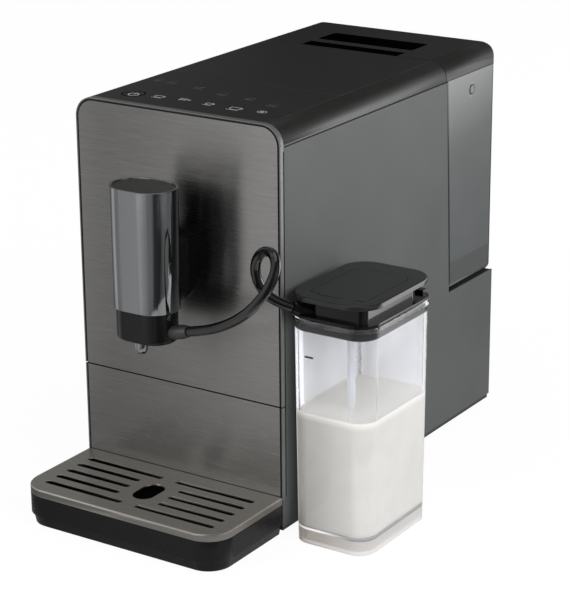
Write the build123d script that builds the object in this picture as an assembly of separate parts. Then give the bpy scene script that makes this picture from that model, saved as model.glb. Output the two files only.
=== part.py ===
from build123d import *
import math
import os

# Bean to cup coffee machine with a milk container beside it, in millimetres, +Z up.
# Every piece is modelled with x = 0 on the machine's middle, y = 0 on its front face and
# z = 0 on the counter. The front looks along -Y, and +X is the viewer's right.
# The export moves the whole object so that its origin is under the middle of its box.

# Machine body
BODY_WIDTH = 180.0
BODY_HEIGHT = 310.0
BODY_DEPTH = 320.0
EDGE_ROUND = 15.5
PANEL_SKIN = 1.5
PANEL_FOOT = 7.0
BASE_FOOT = 3.5
BASE_INSET = 1.2
BEZEL_DEPTH = 4.6
PLATE_SKIN = 0.8
PLATE_INSET = 2.4
BEZEL_LIP = 1.0
FRONT_SEAM = 101.0
FRONT_GAP = 1.0
BEAN_LID_DEPTH = 137.5
TANK_TOP_DEPTH = 83.5
TANK_LOW_DEPTH = 74.0
TANK_SILL = 118.5
REAR_ROUND = 8.0
SEAM = 0.3
PANEL_GAP = 0.8
FIT = 0.3
OVERRUN = 5.0

# Rubber feet
FOOT_RADIUS = 8.0
FOOT_INSET_X = 18.0
FOOT_INSET_Y = 22.0
FOOT_RECESS = 1.5

# Chassis inside the body
DECK_TOP = 104.0
DECK_THICK = 2.5
FRAME_THICK = 2.8
FRAME_BORDER = 12.0
BULKHEAD_SETBACK = 22.0
BULKHEAD_THICK = 3.0
CHUTE_LEFT = -76.0
CHUTE_RIGHT = -20.0
CHUTE_LOW = 40.0
CHUTE_HIGH = 96.0
PIPE_WINDOW_LEFT = 24.0
PIPE_WINDOW_RIGHT = 62.0
PIPE_WINDOW_LOW = 112.0
PIPE_WINDOW_HIGH = 150.0

# Top cover, control panel and power button
COVER_SKIN = 2.5
COVER_DECK = 5.3
PANEL_INSET = 12.5
GLASS_THICK = 2.8
LID_THICK = 2.5
HOPPER_MOUTH_INSET = 16.0
HOPPER_MOUTH_BORDER = 3.6
BUTTON_INSET = 21.7
BUTTON_Y = 25.9
BUTTON_RADIUS = 8.4
BUTTON_PROUD = 0.1
BUTTON_DISH = 0.7
BUTTON_FLANGE = 1.0
BUTTON_NUB_RADIUS = 2.0
BUTTON_NUB = 1.0
BUTTON_TRAVEL = 1.0
BUTTON_GAP = 0.2

# Boards
UI_BOARD_THICK = 1.6
UI_BOARD_DROP = 12.0
UI_BOARD_HALF_WIDTH = 76.0
UI_BOARD_FRONT = 14.0
UI_BOARD_REAR_GAP = 5.0
BOARD_POST_RADIUS = 3.0
MAIN_BOARD_SIDE_GAP = 8.5
MAIN_BOARD_THICK = 1.6
MAIN_BOARD_FRONT = 20.0
MAIN_BOARD_REAR_GAP = 11.0
MAIN_BOARD_DROP = 40.0
MAIN_BOARD_HEIGHT = 110.0

# Bean hopper, its lid and the grind knob
SKIRT_WALL = 2.0
SKIRT_DEPTH = 5.5
SKIRT_GAP = 0.6
SEAL_THICK = 1.5
SEAL_WIDTH = 3.0
HOPPER_WALL = 2.0
GRINDER_X = 20.0
GRINDER_SETBACK = 47.0
THROAT_WIDTH = 36.0
THROAT_DROP = 58.0
FUNNEL_WIDTH = 98.0
FUNNEL_DEPTH = 116.0
KNOB_X = -52.0
KNOB_RADIUS = 14.0
KNOB_HEIGHT = 5.0
KNOB_GRIP = 3.0
KNOB_SHAFT_RADIUS = 3.0
KNOB_SHAFT_LENGTH = 26.0
SHAFT_GAP = 0.1

# Grinder
HOUSING_RADIUS = 30.0
HOUSING_WALL = 4.8
HOUSING_HEIGHT = 48.0
HOUSING_FLOOR = 4.0
BURR_LEDGE_RISE = 24.0
BURR_LEDGE = 2.2
BURR_HEIGHT = 20.0
RING_BURR_TOP_RADIUS = 21.0
RING_BURR_LOW_RADIUS = 17.0
CONE_BURR_LOW_RADIUS = 15.5
CONE_BURR_TOP_RADIUS = 8.0
BURR_SHAFT_RADIUS = 4.0
GEARBOX_HEIGHT = 20.0
GEARBOX_PLATE = 4.0
GEARBOX_LEFT = 30.0
GEARBOX_RIGHT = 50.0
GEARBOX_HALF_DEPTH = 28.0
PILLAR_RADIUS = 3.0
PILLAR_INSET = 4.0
CHUTE_WIDTH = 16.0
CHUTE_REACH = 22.0
CHUTE_WALL = 2.0
CHUTE_HEIGHT = 12.0
GRINDER_MOTOR_RADIUS = 20.0
SHELF_GAP = 1.5
GRINDER_MOTOR_LENGTH = 53.0

# Gear pair, used by the grinder and by the brew unit
GEAR_MODULE = 1.0
WHEEL_TEETH = 40
PINION_TEETH = 16
PRESSURE_ANGLE = 20.0
GEAR_BACKLASH = 0.25
GEAR_CENTRE_EXTRA = 0.25
GEAR_FACE = 6.0
PINION_SHAFT_RADIUS = 2.0

# Brew unit
BREW_X = -48.0
BREW_SETBACK = 47.0
BREW_FRAME_HEIGHT = 88.0
BREW_PLATE = 4.0
BREW_HALF_WIDTH = 28.0
BREW_FRONT_GAP = 13.0
BREW_REAR_REACH = 36.0
BREW_TOP_GAP = 4.0
CYLINDER_RADIUS = 22.0
CYLINDER_WALL = 4.0
CYLINDER_HEIGHT = 46.0
COLLAR_WALL = 4.0
COLLAR_RISE = 10.0
COLLAR_HEIGHT = 6.0
PISTON_GAP = 0.2
PISTON_RISE = 2.0
PISTON_HEIGHT = 8.0
STEM_RADIUS = 6.0
STEM_GAP = 6.0
SPINDLE_RADIUS = 3.0
SPINDLE_TOP_GAP = 4.0
SPINDLE_DROP = 14.0
BREW_GEAR_DROP = 8.5
BREW_MOTOR_RADIUS = 13.5
BREW_MOTOR_LENGTH = 41.0
BREW_MOTOR_PLATE = 1.6
BREW_SHAFT_DEPTH = 15.0
BREW_WEB = 3.0

# Pump, heater, flow meter and pipes
PUMP_X = 42.0
PUMP_SETBACK = 69.0
PUMP_Z = 46.0
PUMP_COIL = 34.0
PUMP_END_RADIUS = 14.0
PUMP_END_LENGTH = 19.0
PUMP_NOSE_RADIUS = 6.0
PUMP_NOSE_LENGTH = 10.0
MOUNT_WIDTH = 26.0
MOUNT_DEPTH = 9.0
HEATER_LEFT = 0.0
HEATER_RIGHT = 66.0
HEATER_FRONT = 24.0
HEATER_REAR_GAP = 25.0
HEATER_FOOT = 2.5
HEATER_TOP = 140.0
HEATER_FIN = 3.0
HEATER_FIN_PITCH = 9.0
HEATER_FIN_HEIGHT = 8.0
METER_X = -60.0
METER_RADIUS = 14.0
METER_HEIGHT = 20.0
PIPE_RADIUS = 3.0
PIPE_BEND = 6.0
HEATER_PIPE_Z = 130.0
METER_PIPE_Z = 64.0
BREW_PIPE_RISE = 25.0
SPOUT_PIPE_Y = 14.0

# Water tank bay, tank, lid and valve
BAY_WALL = 2.0
SEAT_THICK = 8.0
SEAT_LEG = 3.0
SEAT_LEG_X = 30.0
SEAT_LEG_DEPTH = 56.0
SEAT_LEG_INSET = 12.0
VALVE_INSET = 38.0
VALVE_RADIUS = 10.0
VALVE_STEM_RADIUS = 6.0
VALVE_DROP = 4.5
VALVE_RIM = 2.0
TANK_GAP = 0.5
TANK_WALL = 2.5
TANK_LOW_ROUND = 4.0
SLOT_HALF_WIDTH = 44.5
FRONT_SLOT_DEPTH = 14.0
SLOT_BAR = 9.5
REAR_SLOT_DEPTH = 27.5
SLOT_DEPTH = 13.0
SLOT_ROUND = 3.0
SLOT_WALL = 2.5
LID_SKIRT_DEPTH = 6.0
BOSS_INSET = 41.0
BOSS_DROP = 30.0
BOSS_RADIUS = 5.3
BOSS_RING = 1.4
BOSS_DEPTH = 0.6

# Back panel and mains inlet
BACK_SKIN = 2.0
BACK_INSET = 0.5
VENT_COUNT = 9
VENT_PITCH = 8.0
VENT_WIDTH = 3.5
VENT_LENGTH = 62.0
VENT_X = 34.0
VENT_LOW = 30.0
INLET_X = -48.0
INLET_Z = 44.0
INLET_WIDTH = 28.0
INLET_HEIGHT = 20.5
INLET_DEPTH = 24.0
INLET_WALL = 2.0
INLET_FLANGE = 4.0
INLET_ROUND = 5.0
INLET_LIP = 0.5
CONTACT_WIDTH = 2.0
CONTACT_HEIGHT = 4.0
CONTACT_LENGTH = 15.0
CONTACT_SPREAD = 7.0
SCREW_HEAD_RADIUS = 3.2
SCREW_HEAD = 0.5
SCREW_RADIUS = 1.4
SCREW_LENGTH = 6.0
SCREW_INSET_X = 7.0
SCREW_INSET_Z = 10.0

# Service door on the left side
DOOR_SETBACK = 7.0
DOOR_DEPTH = 100.0
DOOR_LOW = 60.0
DOOR_DROP = 70.0
DOOR_GAP = 0.4
DOOR_RIB = 2.5
DOOR_RIB_INSET = 3.0
GRIP_WIDTH = 16.0
GRIP_HEIGHT = 46.0
GRIP_DEPTH = 0.8

# Drip tray drawer
TRAY_REACH = 85.0
TRAY_ROUND = 21.0
TRAY_INSET = 0.5
TRAY_FOOT = 0.5
TRAY_STEP_Z = 8.5
TRAY_STEP = 1.5
TRAY_TAPER = 11.0
TRAY_WALL = 3.0
TRAY_FLOOR = 3.0
GRID_TOP = 30.5
GRID_BAND = 6.0
GRID_SKIN = 1.5
GRID_EDGE_ROUND = 0.8
DRAWER_HALF_WIDTH = 82.0
DRAWER_REAR_GAP = 3.0
DRAWER_FLOOR = 2.2
FASCIA_FOOT = 27.0
FASCIA_FOOT_ROUND = 4.0
RAIL_DEPTH = 5.0
SLOT_ROWS = 5
SLOT_PITCH = 12.7
SLOT_FIRST_Y = -18.0
GRID_SLOT_WIDTH = 5.0
GRID_SLOT_OUTER = 76.5
GRID_SLOT_INNER_END = 6.0
GRID_SLOT_INNER_MIDDLE = 18.0
GRID_HOLE_WIDTH = 17.0
GRID_HOLE_LENGTH = 29.0

# Grounds container in the drawer
GROUNDS_HALF_WIDTH = 70.0
GROUNDS_TOP = 92.0
GROUNDS_WALL = 2.0
GROUNDS_ROUND = 8.0
GROUNDS_REAR_GAP = 3.0

# Spout
SPOUT_Y = -39.0
SPOUT_WIDTH = 52.0
SPOUT_DEPTH = 38.0
SPOUT_BASE_HEIGHT = 24.0
SPOUT_HEIGHT = 90.0
SPOUT_WALL = 2.0
CAP_THICK = 4.0
CAP_RECESS = 0.8
SPOUT_FOOT = 150.0
SPOUT_FOOT_ROUND = 3.0
SPIGOT = 2.0
CARRIER_GAP = 0.2
SLIDE_GAP = 0.4
ARM_WIDTH = 20.0
ARM_RISE = 19.0
ARM_HEIGHT = 54.0
ARM_ROUND = 8.0
ARM_GAP = 0.5
NECK_WIDTH = 12.0
NECK_LENGTH = 4.5
HEAD_WIDTH = 22.0
HEAD_DEPTH = 4.0
HEAD_RISE = 9.0
HEAD_HEIGHT = 34.0
DUCT_RISE = 27.0
DUCT_RADIUS = 3.4
CARRIER_DUCT_RADIUS = 4.0
NOZZLE_Y = -47.0
NOZZLE_RADIUS = 5.0
NOZZLE_TIP_RADIUS = 3.6
NOZZLE_DROP = 9.0
NOZZLE_TAPER = 2.5
NOZZLE_SPIGOT_RADIUS = 3.8
NOZZLE_SPIGOT = 6.0
NOZZLE_BORE_RADIUS = 1.6

# Milk container
JAR_GAP = 8.0
JAR_WIDTH = 63.5
JAR_FRONT = -1.5
JAR_DEPTH = 92.0
JAR_HEIGHT = 174.0
JAR_ROUND = 14.0
JAR_DRAFT = 2.0
JAR_WALL = 2.4
JAR_FLOOR = 13.0
JAR_FOOT_RECESS = 2.5
JAR_LIP = 1.3
JAR_LIP_HEIGHT = 3.5
MILK_LID_FLANGE = 2.0
MILK_LID_FLANGE_INSET = 1.0
PLUG_DEPTH = 10.0
PLUG_GAP = 1.0
PLUG_WALL = 3.0
JAR_SEAL_HEIGHT = 2.5
JAR_SEAL_GAP = 0.3
MILK_NECK_TOP = 187.0
MILK_NECK_LEFT_INSET = 12.0
MILK_NECK_RIGHT_INSET = 6.5
MILK_NECK_FRONT_INSET = 5.0
MILK_NECK_REAR_INSET = 21.0
MILK_NECK_CHAMFER = 12.0
MILK_NECK_ROUND = 6.0
MILK_NECK_WALL = 3.0
LID_TAB_WIDTH = 7.0
LID_TAB_DEPTH = 5.5
LID_TAB_HEIGHT = 2.5
LID_TAB_INSET_X = 7.5
LID_TAB_INSET_Y = 4.0
MILK_PLATE_THICK = 3.5
MILK_PLATE_INSET = 0.5
MILK_PLATE_ROUND = 20.0
MILK_PLATE_EDGE = 1.2
FLAP_LEFT_INSET = 12.0
FLAP_RIGHT_INSET = 11.0
FLAP_FRONT_INSET = 11.0
FLAP_REAR_INSET = 19.0
FLAP_THICK = 1.8
FLAP_GAP = 0.4
FLAP_ROUND = 8.0
FLAP_PIN_RADIUS = 0.9
FLAP_PIN_LENGTH = 2.5
FLAP_BARREL_RADIUS = 1.5
FLAP_LEDGE = 2.0
RISER_INSET = 32.0
RISER_SETBACK = 31.5
RISER_RADIUS = 2.5
RISER_BORE = 1.7
RISER_FOOT = 16.0

# Milk hose: its route is a list of points chosen by hand. The first ones are measured from
# the spout's middle line and foot, the last ones from the jar lid's front left corner.
HOSE_RADIUS = 3.7
HOSE_RADIUS_SHARE = 0.45
HOSE_FROM_SPOUT = [
    (37.5, -1.8, 12.2),
    (53.8, -2.4, 16.2),
    (69.5, -4.6, 23.0),
    (84.8, -7.4, 31.8),
    (98.6, -9.0, 43.2),
    (109.0, -6.8, 57.0),
    (112.0, 0.6, 71.0),
]
HOSE_FROM_JAR = [
    (8.8, -24.8, 53.0),
    (-5.1, -18.4, 50.4),
    (-14.2, -15.0, 38.2),
    (-13.4, -12.4, 22.8),
    (-4.2, -7.1, 10.0),
    (6.8, 2.3, 5.0),
]
BOOT_RADIUS = 5.2
BOOT_TIP_RADIUS = 4.2
BOOT_TIP = 5.0
BOOT_SOCKET_GAP = 0.3
BOOT_ROOT = 4.0
SLEEVE_RADIUS = 4.6
SLEEVE_ROOT = 3.0
SLEEVE_BORE = 1.6
RIB_COUNT = 8
RIB_WIDTH = 1.0
RIB_LENGTH = 5.0

# Places worked out from the sizes above
HALF = BODY_WIDTH / 2
INNER = HALF - PANEL_SKIN
STRIP_Z = BODY_HEIGHT - EDGE_ROUND
PANEL_HALF = HALF - PANEL_INSET
TANK_SEAM_TOP = BODY_DEPTH - TANK_TOP_DEPTH
TANK_SEAM_LOW = BODY_DEPTH - TANK_LOW_DEPTH
LID_SEAM = TANK_SEAM_TOP - BEAN_LID_DEPTH
BULKHEAD_Y = LID_SEAM + BULKHEAD_SETBACK
COVER_REAR = TANK_SEAM_TOP - SEAM
COVER_UNDERSIDE = BODY_HEIGHT - COVER_DECK
RECESS_Z = BODY_HEIGHT - GLASS_THICK
FRAME_REAR = BEZEL_DEPTH + FIT + FRAME_THICK
MOUTH_HALF = HALF - HOPPER_MOUTH_INSET
MOUTH_FRONT = LID_SEAM + HOPPER_MOUTH_BORDER
MOUTH_REAR = COVER_REAR - COVER_SKIN - FIT - HOPPER_WALL
SKIRT_LOW = BODY_HEIGHT - LID_THICK - SKIRT_DEPTH
SEAL_LOW = SKIRT_LOW - SEAL_THICK
LEDGE_Z = SEAL_LOW - FIT
BUTTON_X = BUTTON_INSET - PANEL_HALF
UI_BOARD_Z = BODY_HEIGHT - UI_BOARD_DROP
UI_BOARD_REAR = LID_SEAM - UI_BOARD_REAR_GAP
MAIN_BOARD_X = INNER - MAIN_BOARD_SIDE_GAP
MAIN_BOARD_REAR = BULKHEAD_Y - MAIN_BOARD_REAR_GAP
MAIN_BOARD_TOP = BODY_HEIGHT - MAIN_BOARD_DROP
MAIN_BOARD_LOW = MAIN_BOARD_TOP - MAIN_BOARD_HEIGHT
GRINDER_Y = BULKHEAD_Y + GRINDER_SETBACK
THROAT_Z = BODY_HEIGHT - THROAT_DROP
HOUSING_FLOOR_Z = THROAT_Z - HOUSING_HEIGHT
BURR_LEDGE_Z = HOUSING_FLOOR_Z + BURR_LEDGE_RISE
GEARBOX_Z = HOUSING_FLOOR_Z - GEARBOX_HEIGHT
BREW_Y = BULKHEAD_Y + BREW_SETBACK
BREW_FRONT = BULKHEAD_Y + BREW_FRONT_GAP
BREW_REAR = BREW_Y + BREW_REAR_REACH
BREW_TOP_Z = HOUSING_FLOOR_Z - BREW_TOP_GAP
BREW_BASE_Z = BREW_TOP_Z - BREW_FRAME_HEIGHT
BREW_GEAR_Z = BREW_BASE_Z - BREW_GEAR_DROP
CYLINDER_LOW = BREW_TOP_Z - BREW_PLATE - CYLINDER_HEIGHT
COLLAR_Z = CYLINDER_LOW + COLLAR_RISE
PISTON_Z = CYLINDER_LOW + PISTON_RISE
STEM_FOOT = BREW_BASE_Z + BREW_PLATE + STEM_GAP
SPINDLE_TOP = CYLINDER_LOW - SPINDLE_TOP_GAP
SPINDLE_FOOT = BREW_BASE_Z - SPINDLE_DROP
BREW_PIPE_Z = BREW_TOP_Z + BREW_PIPE_RISE
PUMP_Y = BULKHEAD_Y + PUMP_SETBACK
HEATER_REAR = BULKHEAD_Y - HEATER_REAR_GAP
GEAR_CENTRES = GEAR_MODULE * (WHEEL_TEETH + PINION_TEETH) / 2 + GEAR_CENTRE_EXTRA
GEARBOX_TOP = GEARBOX_Z + GEARBOX_PLATE
GRINDER_GEAR_Z = (GEARBOX_TOP + HOUSING_FLOOR_Z - GEAR_FACE) / 2
GRINDER_PINION_X = GRINDER_X + GEAR_CENTRES
BREW_PINION_Y = BREW_Y - GEAR_CENTRES
BULKHEAD_REAR = BULKHEAD_Y + BULKHEAD_THICK
DOOR_FRONT = BULKHEAD_Y + DOOR_SETBACK
DOOR_REAR = DOOR_FRONT + DOOR_DEPTH
DOOR_HIGH = BODY_HEIGHT - DOOR_DROP
SEAT_LEG_REAR = BODY_DEPTH - SEAT_LEG_INSET
SEAT_LEG_FRONT = SEAT_LEG_REAR - SEAT_LEG_DEPTH
VALVE_Y = BODY_DEPTH - VALVE_INSET
FRONT_SLOT_REAR = TANK_SEAM_TOP + FRONT_SLOT_DEPTH
REAR_SLOT_FRONT = FRONT_SLOT_REAR + SLOT_BAR
REAR_SLOT_REAR = REAR_SLOT_FRONT + REAR_SLOT_DEPTH
BOSS_Y = BODY_DEPTH - BOSS_INSET
BOSS_Z = BODY_HEIGHT - BOSS_DROP
SEAT_TOP = TANK_SILL - FIT
TANK_FOOT = TANK_SILL + SEAM
TANK_TOP = STRIP_Z - SEAM
BACK_FACE = BODY_DEPTH - BACK_INSET
TRAY_HALF = HALF - TRAY_INSET
TRAY_TOP = GRID_TOP - GRID_BAND
DRAWER_FOOT = PANEL_FOOT + FIT
DRAWER_REAR = BULKHEAD_Y - DRAWER_REAR_GAP
RAIL_FRONT = PLATE_SKIN
SPOUT_LOW = SPOUT_FOOT + SPOUT_BASE_HEIGHT
SPOUT_TOP = SPOUT_LOW + SPOUT_HEIGHT
NOZZLE_TIP = SPOUT_FOOT - NOZZLE_DROP
ARM_LOW = SPOUT_FOOT + ARM_RISE
ARM_HIGH = ARM_LOW + ARM_HEIGHT
HEAD_LOW = ARM_LOW + HEAD_RISE
HEAD_HIGH = HEAD_LOW + HEAD_HEIGHT
DUCT_Z = ARM_LOW + DUCT_RISE
SHELL_REAR = SPOUT_Y + SPOUT_DEPTH / 2
ARM_FRONT = SHELL_REAR + ARM_GAP
HEAD_REAR = ARM_FRONT - NECK_LENGTH
CARRIER_WIDTH = SPOUT_WIDTH - 2 * (SPOUT_WALL + CARRIER_GAP)
CARRIER_DEPTH = SPOUT_DEPTH - 2 * (SPOUT_WALL + CARRIER_GAP)
CARRIER_LOW = SPOUT_LOW + SPIGOT + FIT
CAP_LOW = SPOUT_TOP - CAP_RECESS - CAP_THICK
BASE_WIDTH = SPOUT_WIDTH - 2 * (SPOUT_WALL + CARRIER_GAP)
JAR_LEFT = HALF + JAR_GAP
RISER_X = JAR_LEFT + RISER_INSET
RISER_Y = JAR_FRONT + RISER_SETBACK
JAR_X = JAR_LEFT + JAR_WIDTH / 2
JAR_Y = JAR_FRONT + JAR_DEPTH / 2
RIM_WIDTH = JAR_WIDTH + 2 * (JAR_DRAFT + JAR_LIP)
RIM_DEPTH = JAR_DEPTH + 2 * (JAR_DRAFT + JAR_LIP)
RIM_LEFT = JAR_X - RIM_WIDTH / 2
RIM_RIGHT = JAR_X + RIM_WIDTH / 2
RIM_FRONT = JAR_Y - RIM_DEPTH / 2
RIM_REAR = JAR_Y + RIM_DEPTH / 2
FLANGE_TOP = JAR_HEIGHT + MILK_LID_FLANGE
MILK_PLATE_TOP = MILK_NECK_TOP + MILK_PLATE_THICK
HOSE_POINTS = [(x, SPOUT_Y + y, SPOUT_FOOT + z) for x, y, z in HOSE_FROM_SPOUT]
HOSE_POINTS += [(RIM_LEFT + x, RIM_FRONT + y, FLANGE_TOP + z) for x, y, z in HOSE_FROM_JAR]
ORIGIN_X = (RIM_RIGHT - HALF) / 2
ORIGIN_Y = (BODY_DEPTH - TRAY_REACH) / 2


def block(x0, x1, y0, y1, z0, z1):
    """A box between two corners."""
    middle = Pos((x0 + x1) / 2, (y0 + y1) / 2, (z0 + z1) / 2)
    return middle * Box(x1 - x0, y1 - y0, z1 - z0)


def slab(x0, x1, y0, y1, z0, z1, radius):
    """A box with rounded vertical edges."""
    outline = RectangleRounded(x1 - x0, y1 - y0, radius)
    return Pos((x0 + x1) / 2, (y0 + y1) / 2, z0) * extrude(outline, z1 - z0)


def post(x, y, z0, z1, radius):
    """An upright cylinder."""
    return Pos(x, y, (z0 + z1) / 2) * Cylinder(radius, z1 - z0)


def cone(x, y, z0, z1, low_radius, top_radius):
    """An upright cone with a flat top."""
    return Pos(x, y, (z0 + z1) / 2) * Cone(low_radius, top_radius, z1 - z0)


def rod(start, end, radius, end_radius=None):
    """A cylinder, or a tapered one, from one point to another."""
    along = Vector(*end) - Vector(*start)
    plane = Plane(origin=start, z_dir=along)
    if end_radius is None:
        return plane * extrude(Circle(radius), along.length)
    middle = plane * Pos(0, 0, along.length / 2)
    return middle * Cone(radius, end_radius, along.length)


def oval(x, y, width, depth, z0, z1):
    """An upright stadium with its long side along X."""
    return Pos(x, y, z0) * extrude(SlotOverall(width, depth), z1 - z0)


def front_form(outline, y0, y1):
    """An outline drawn in x and z, standing from y0 to y1."""
    plane = Plane(origin=(0, y1, 0), x_dir=(1, 0, 0), z_dir=(0, -1, 0))
    return plane * extrude(outline, y1 - y0)


def side_form(outline, x0, x1):
    """An outline drawn in y and z, running from x0 to x1."""
    plane = Plane(origin=(x0, 0, 0), x_dir=(0, 1, 0), z_dir=(1, 0, 0))
    return plane * extrude(outline, x1 - x0)


def polygon(*points):
    """A closed outline of straight sides."""
    return make_face(Polyline(*points, close=True))


def arch(half_width, z0, z1, radius):
    """A rectangle about x = 0 with its two top corners rounded."""
    side = polygon((-half_width, z0), (half_width, z0), (half_width, z1), (-half_width, z1))
    return fillet(side.vertices().group_by(Axis.Y)[-1], radius)


def seam_y(z):
    """How far back the tank's slanted front seam lies at a height."""
    share = (BODY_HEIGHT - z) / (BODY_HEIGHT - TANK_SILL)
    return TANK_SEAM_TOP + share * (TANK_SEAM_LOW - TANK_SEAM_TOP)


def piped(points, radius, bends):
    """A tube along straight runs that are joined by arcs."""
    path = FilletPolyline(*points, radius=bends)
    first = Vector(*points[1]) - Vector(*points[0])
    section = Plane(origin=points[0], z_dir=first) * Circle(radius)
    return sweep(section, path=path)


def involute_gear(teeth, x, y, z0, turn):
    """A spur gear with faceted involute flanks and one tooth centred on an angle."""
    pitch = GEAR_MODULE * teeth / 2
    base = pitch * math.cos(math.radians(PRESSURE_ANGLE))
    tip = pitch + GEAR_MODULE
    root = pitch - 1.25 * GEAR_MODULE

    def spread(radius):
        angle = math.acos(min(1.0, base / radius))
        return math.tan(angle) - angle

    half = math.pi / (2 * teeth) - GEAR_BACKLASH / (2 * pitch) + spread(pitch)
    low = max(root, base)
    steps = 4
    flank = []
    for i in range(steps + 1):
        radius = low + (tip - low) * i / steps
        flank.append((radius, half - spread(radius)))
    points = []
    for tooth in range(teeth):
        centre = 2 * math.pi * tooth / teeth + turn
        sides = [(root, centre - half)]
        sides += [(r, centre - a) for r, a in flank]
        sides += [(r, centre + a) for r, a in reversed(flank)]
        sides += [(root, centre + half)]
        points += [(r * math.cos(a), r * math.sin(a)) for r, a in sides]
    return Pos(x, y, z0) * extrude(polygon(*points), GEAR_FACE)


# Body


def base_pan():
    """Floor of the machine, set in a little under the side panels."""
    side = INNER - BASE_INSET + PANEL_SKIN
    pan = block(-side, side, BASE_INSET, BODY_DEPTH - BASE_INSET, BASE_FOOT, PANEL_FOOT)
    for x, y in foot_places():
        pan -= post(x, y, BASE_FOOT - OVERRUN, BASE_FOOT + FOOT_RECESS, FOOT_RADIUS + FIT)
    return pan


def foot_places():
    near = FOOT_INSET_Y
    far = BODY_DEPTH - FOOT_INSET_Y
    side = HALF - FOOT_INSET_X
    return [(-side, near), (side, near), (-side, far), (side, far)]


def rubber_feet():
    return Compound([post(x, y, 0, BASE_FOOT + FOOT_RECESS, FOOT_RADIUS) for x, y in foot_places()])


def side_outline():
    """A side panel seen from the side: notched for the fascia and cut away for the tank."""
    notch = BEZEL_DEPTH + SEAM
    step = FASCIA_FOOT - SEAM
    points = [
        (0, PANEL_FOOT),
        (BODY_DEPTH - SEAM, PANEL_FOOT),
        (BODY_DEPTH - SEAM, TANK_SILL),
        (seam_y(TANK_SILL), TANK_SILL),
        (seam_y(STRIP_Z), STRIP_Z - PANEL_GAP),
        (notch, STRIP_Z - PANEL_GAP),
        (notch, step + FASCIA_FOOT_ROUND),
        (notch - FASCIA_FOOT_ROUND, step),
        (0, step),
    ]
    return polygon(*points)


def side_panel_right():
    return side_form(side_outline(), INNER, HALF)


def side_panel_left():
    panel = side_form(side_outline(), -HALF, -INNER)
    opening = block(-HALF - OVERRUN, -INNER + OVERRUN, DOOR_FRONT, DOOR_REAR, DOOR_LOW, DOOR_HIGH)
    return panel - opening


def service_door():
    """Lift-off door over the brew unit, with a stiffening rib and a shallow grip."""
    gap = DOOR_GAP
    y0, y1 = DOOR_FRONT + gap, DOOR_REAR - gap
    z0, z1 = DOOR_LOW + gap, DOOR_HIGH - gap
    inset = DOOR_RIB_INSET
    door = block(-HALF, -INNER, y0, y1, z0, z1)
    rib = block(-INNER, -INNER + DOOR_RIB, y0 + inset, y1 - inset, z0 + inset, z1 - inset)
    hollow = 2 * inset
    rib -= block(
        -INNER - OVERRUN, -INNER + DOOR_RIB + OVERRUN,
        y0 + hollow, y1 - hollow, z0 + hollow, z1 - hollow,
    )
    grip_y = y0 + 2 * inset
    grip_z = (z0 + z1) / 2
    grip = block(
        -HALF - OVERRUN, -HALF + GRIP_DEPTH,
        grip_y, grip_y + GRIP_WIDTH, grip_z - GRIP_HEIGHT / 2, grip_z + GRIP_HEIGHT / 2,
    )
    return door + rib - grip


def back_panel():
    """Rear cover below the tank, with vents, the inlet's cut-out and screw holes."""
    side = INNER - FIT
    panel = block(-side, side, BACK_FACE - BACK_SKIN, BACK_FACE, PANEL_FOOT, SEAT_TOP)
    for i in range(VENT_COUNT):
        z = VENT_LOW + i * VENT_PITCH
        slot = Pos(VENT_X, z) * SlotOverall(VENT_LENGTH, VENT_WIDTH)
        panel -= front_form(slot, BACK_FACE - BACK_SKIN - OVERRUN, BACK_FACE + OVERRUN)
    hole = Pos(INLET_X, INLET_Z) * RectangleRounded(
        INLET_WIDTH + 2 * (INLET_WALL + FIT), INLET_HEIGHT + 2 * (INLET_WALL + FIT), INLET_ROUND
    )
    panel -= front_form(hole, BACK_FACE - BACK_SKIN - OVERRUN, BACK_FACE + OVERRUN)
    for x, z in screw_places():
        hole = Pos(x, z) * Circle(SCREW_RADIUS + SHAFT_GAP)
        panel -= front_form(hole, BACK_FACE - BACK_SKIN - OVERRUN, BACK_FACE + OVERRUN)
    return panel


def screw_places():
    side = INNER - FIT - SCREW_INSET_X
    low = PANEL_FOOT + SCREW_INSET_Z
    high = SEAT_TOP - SEAT_THICK - SCREW_INSET_Z
    return [(-side, low), (side, low), (-side, high), (side, high)]


def cover_screws():
    """Screws that hold the back panel."""
    screws = []
    for x, z in screw_places():
        head = rod((x, BACK_FACE, z), (x, BACK_FACE + SCREW_HEAD, z), SCREW_HEAD_RADIUS)
        screws.append(head + rod((x, BACK_FACE - SCREW_LENGTH, z), (x, BACK_FACE, z), SCREW_RADIUS))
    return Compound(screws)


def inlet_socket():
    """Mains inlet with three contacts, let into the back panel."""
    rear = BACK_FACE + INLET_LIP
    front = BACK_FACE - INLET_DEPTH

    def shape(grow, radius):
        return Pos(INLET_X, INLET_Z) * RectangleRounded(
            INLET_WIDTH + 2 * grow, INLET_HEIGHT + 2 * grow, radius
        )

    body = front_form(shape(INLET_WALL, INLET_ROUND), front, rear)
    body += front_form(shape(INLET_WALL + INLET_FLANGE, INLET_ROUND), BACK_FACE, rear)
    body -= front_form(shape(0, INLET_ROUND - INLET_WALL), front + INLET_WALL, rear + OVERRUN)
    for x, z in ((-CONTACT_SPREAD, 0), (0, CONTACT_HEIGHT), (CONTACT_SPREAD, 0)):
        body += block(
            INLET_X + x - CONTACT_WIDTH / 2, INLET_X + x + CONTACT_WIDTH / 2,
            front + INLET_WALL, front + INLET_WALL + CONTACT_LENGTH,
            INLET_Z + z - CONTACT_HEIGHT / 2, INLET_Z + z + CONTACT_HEIGHT / 2,
        )
    return body


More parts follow.
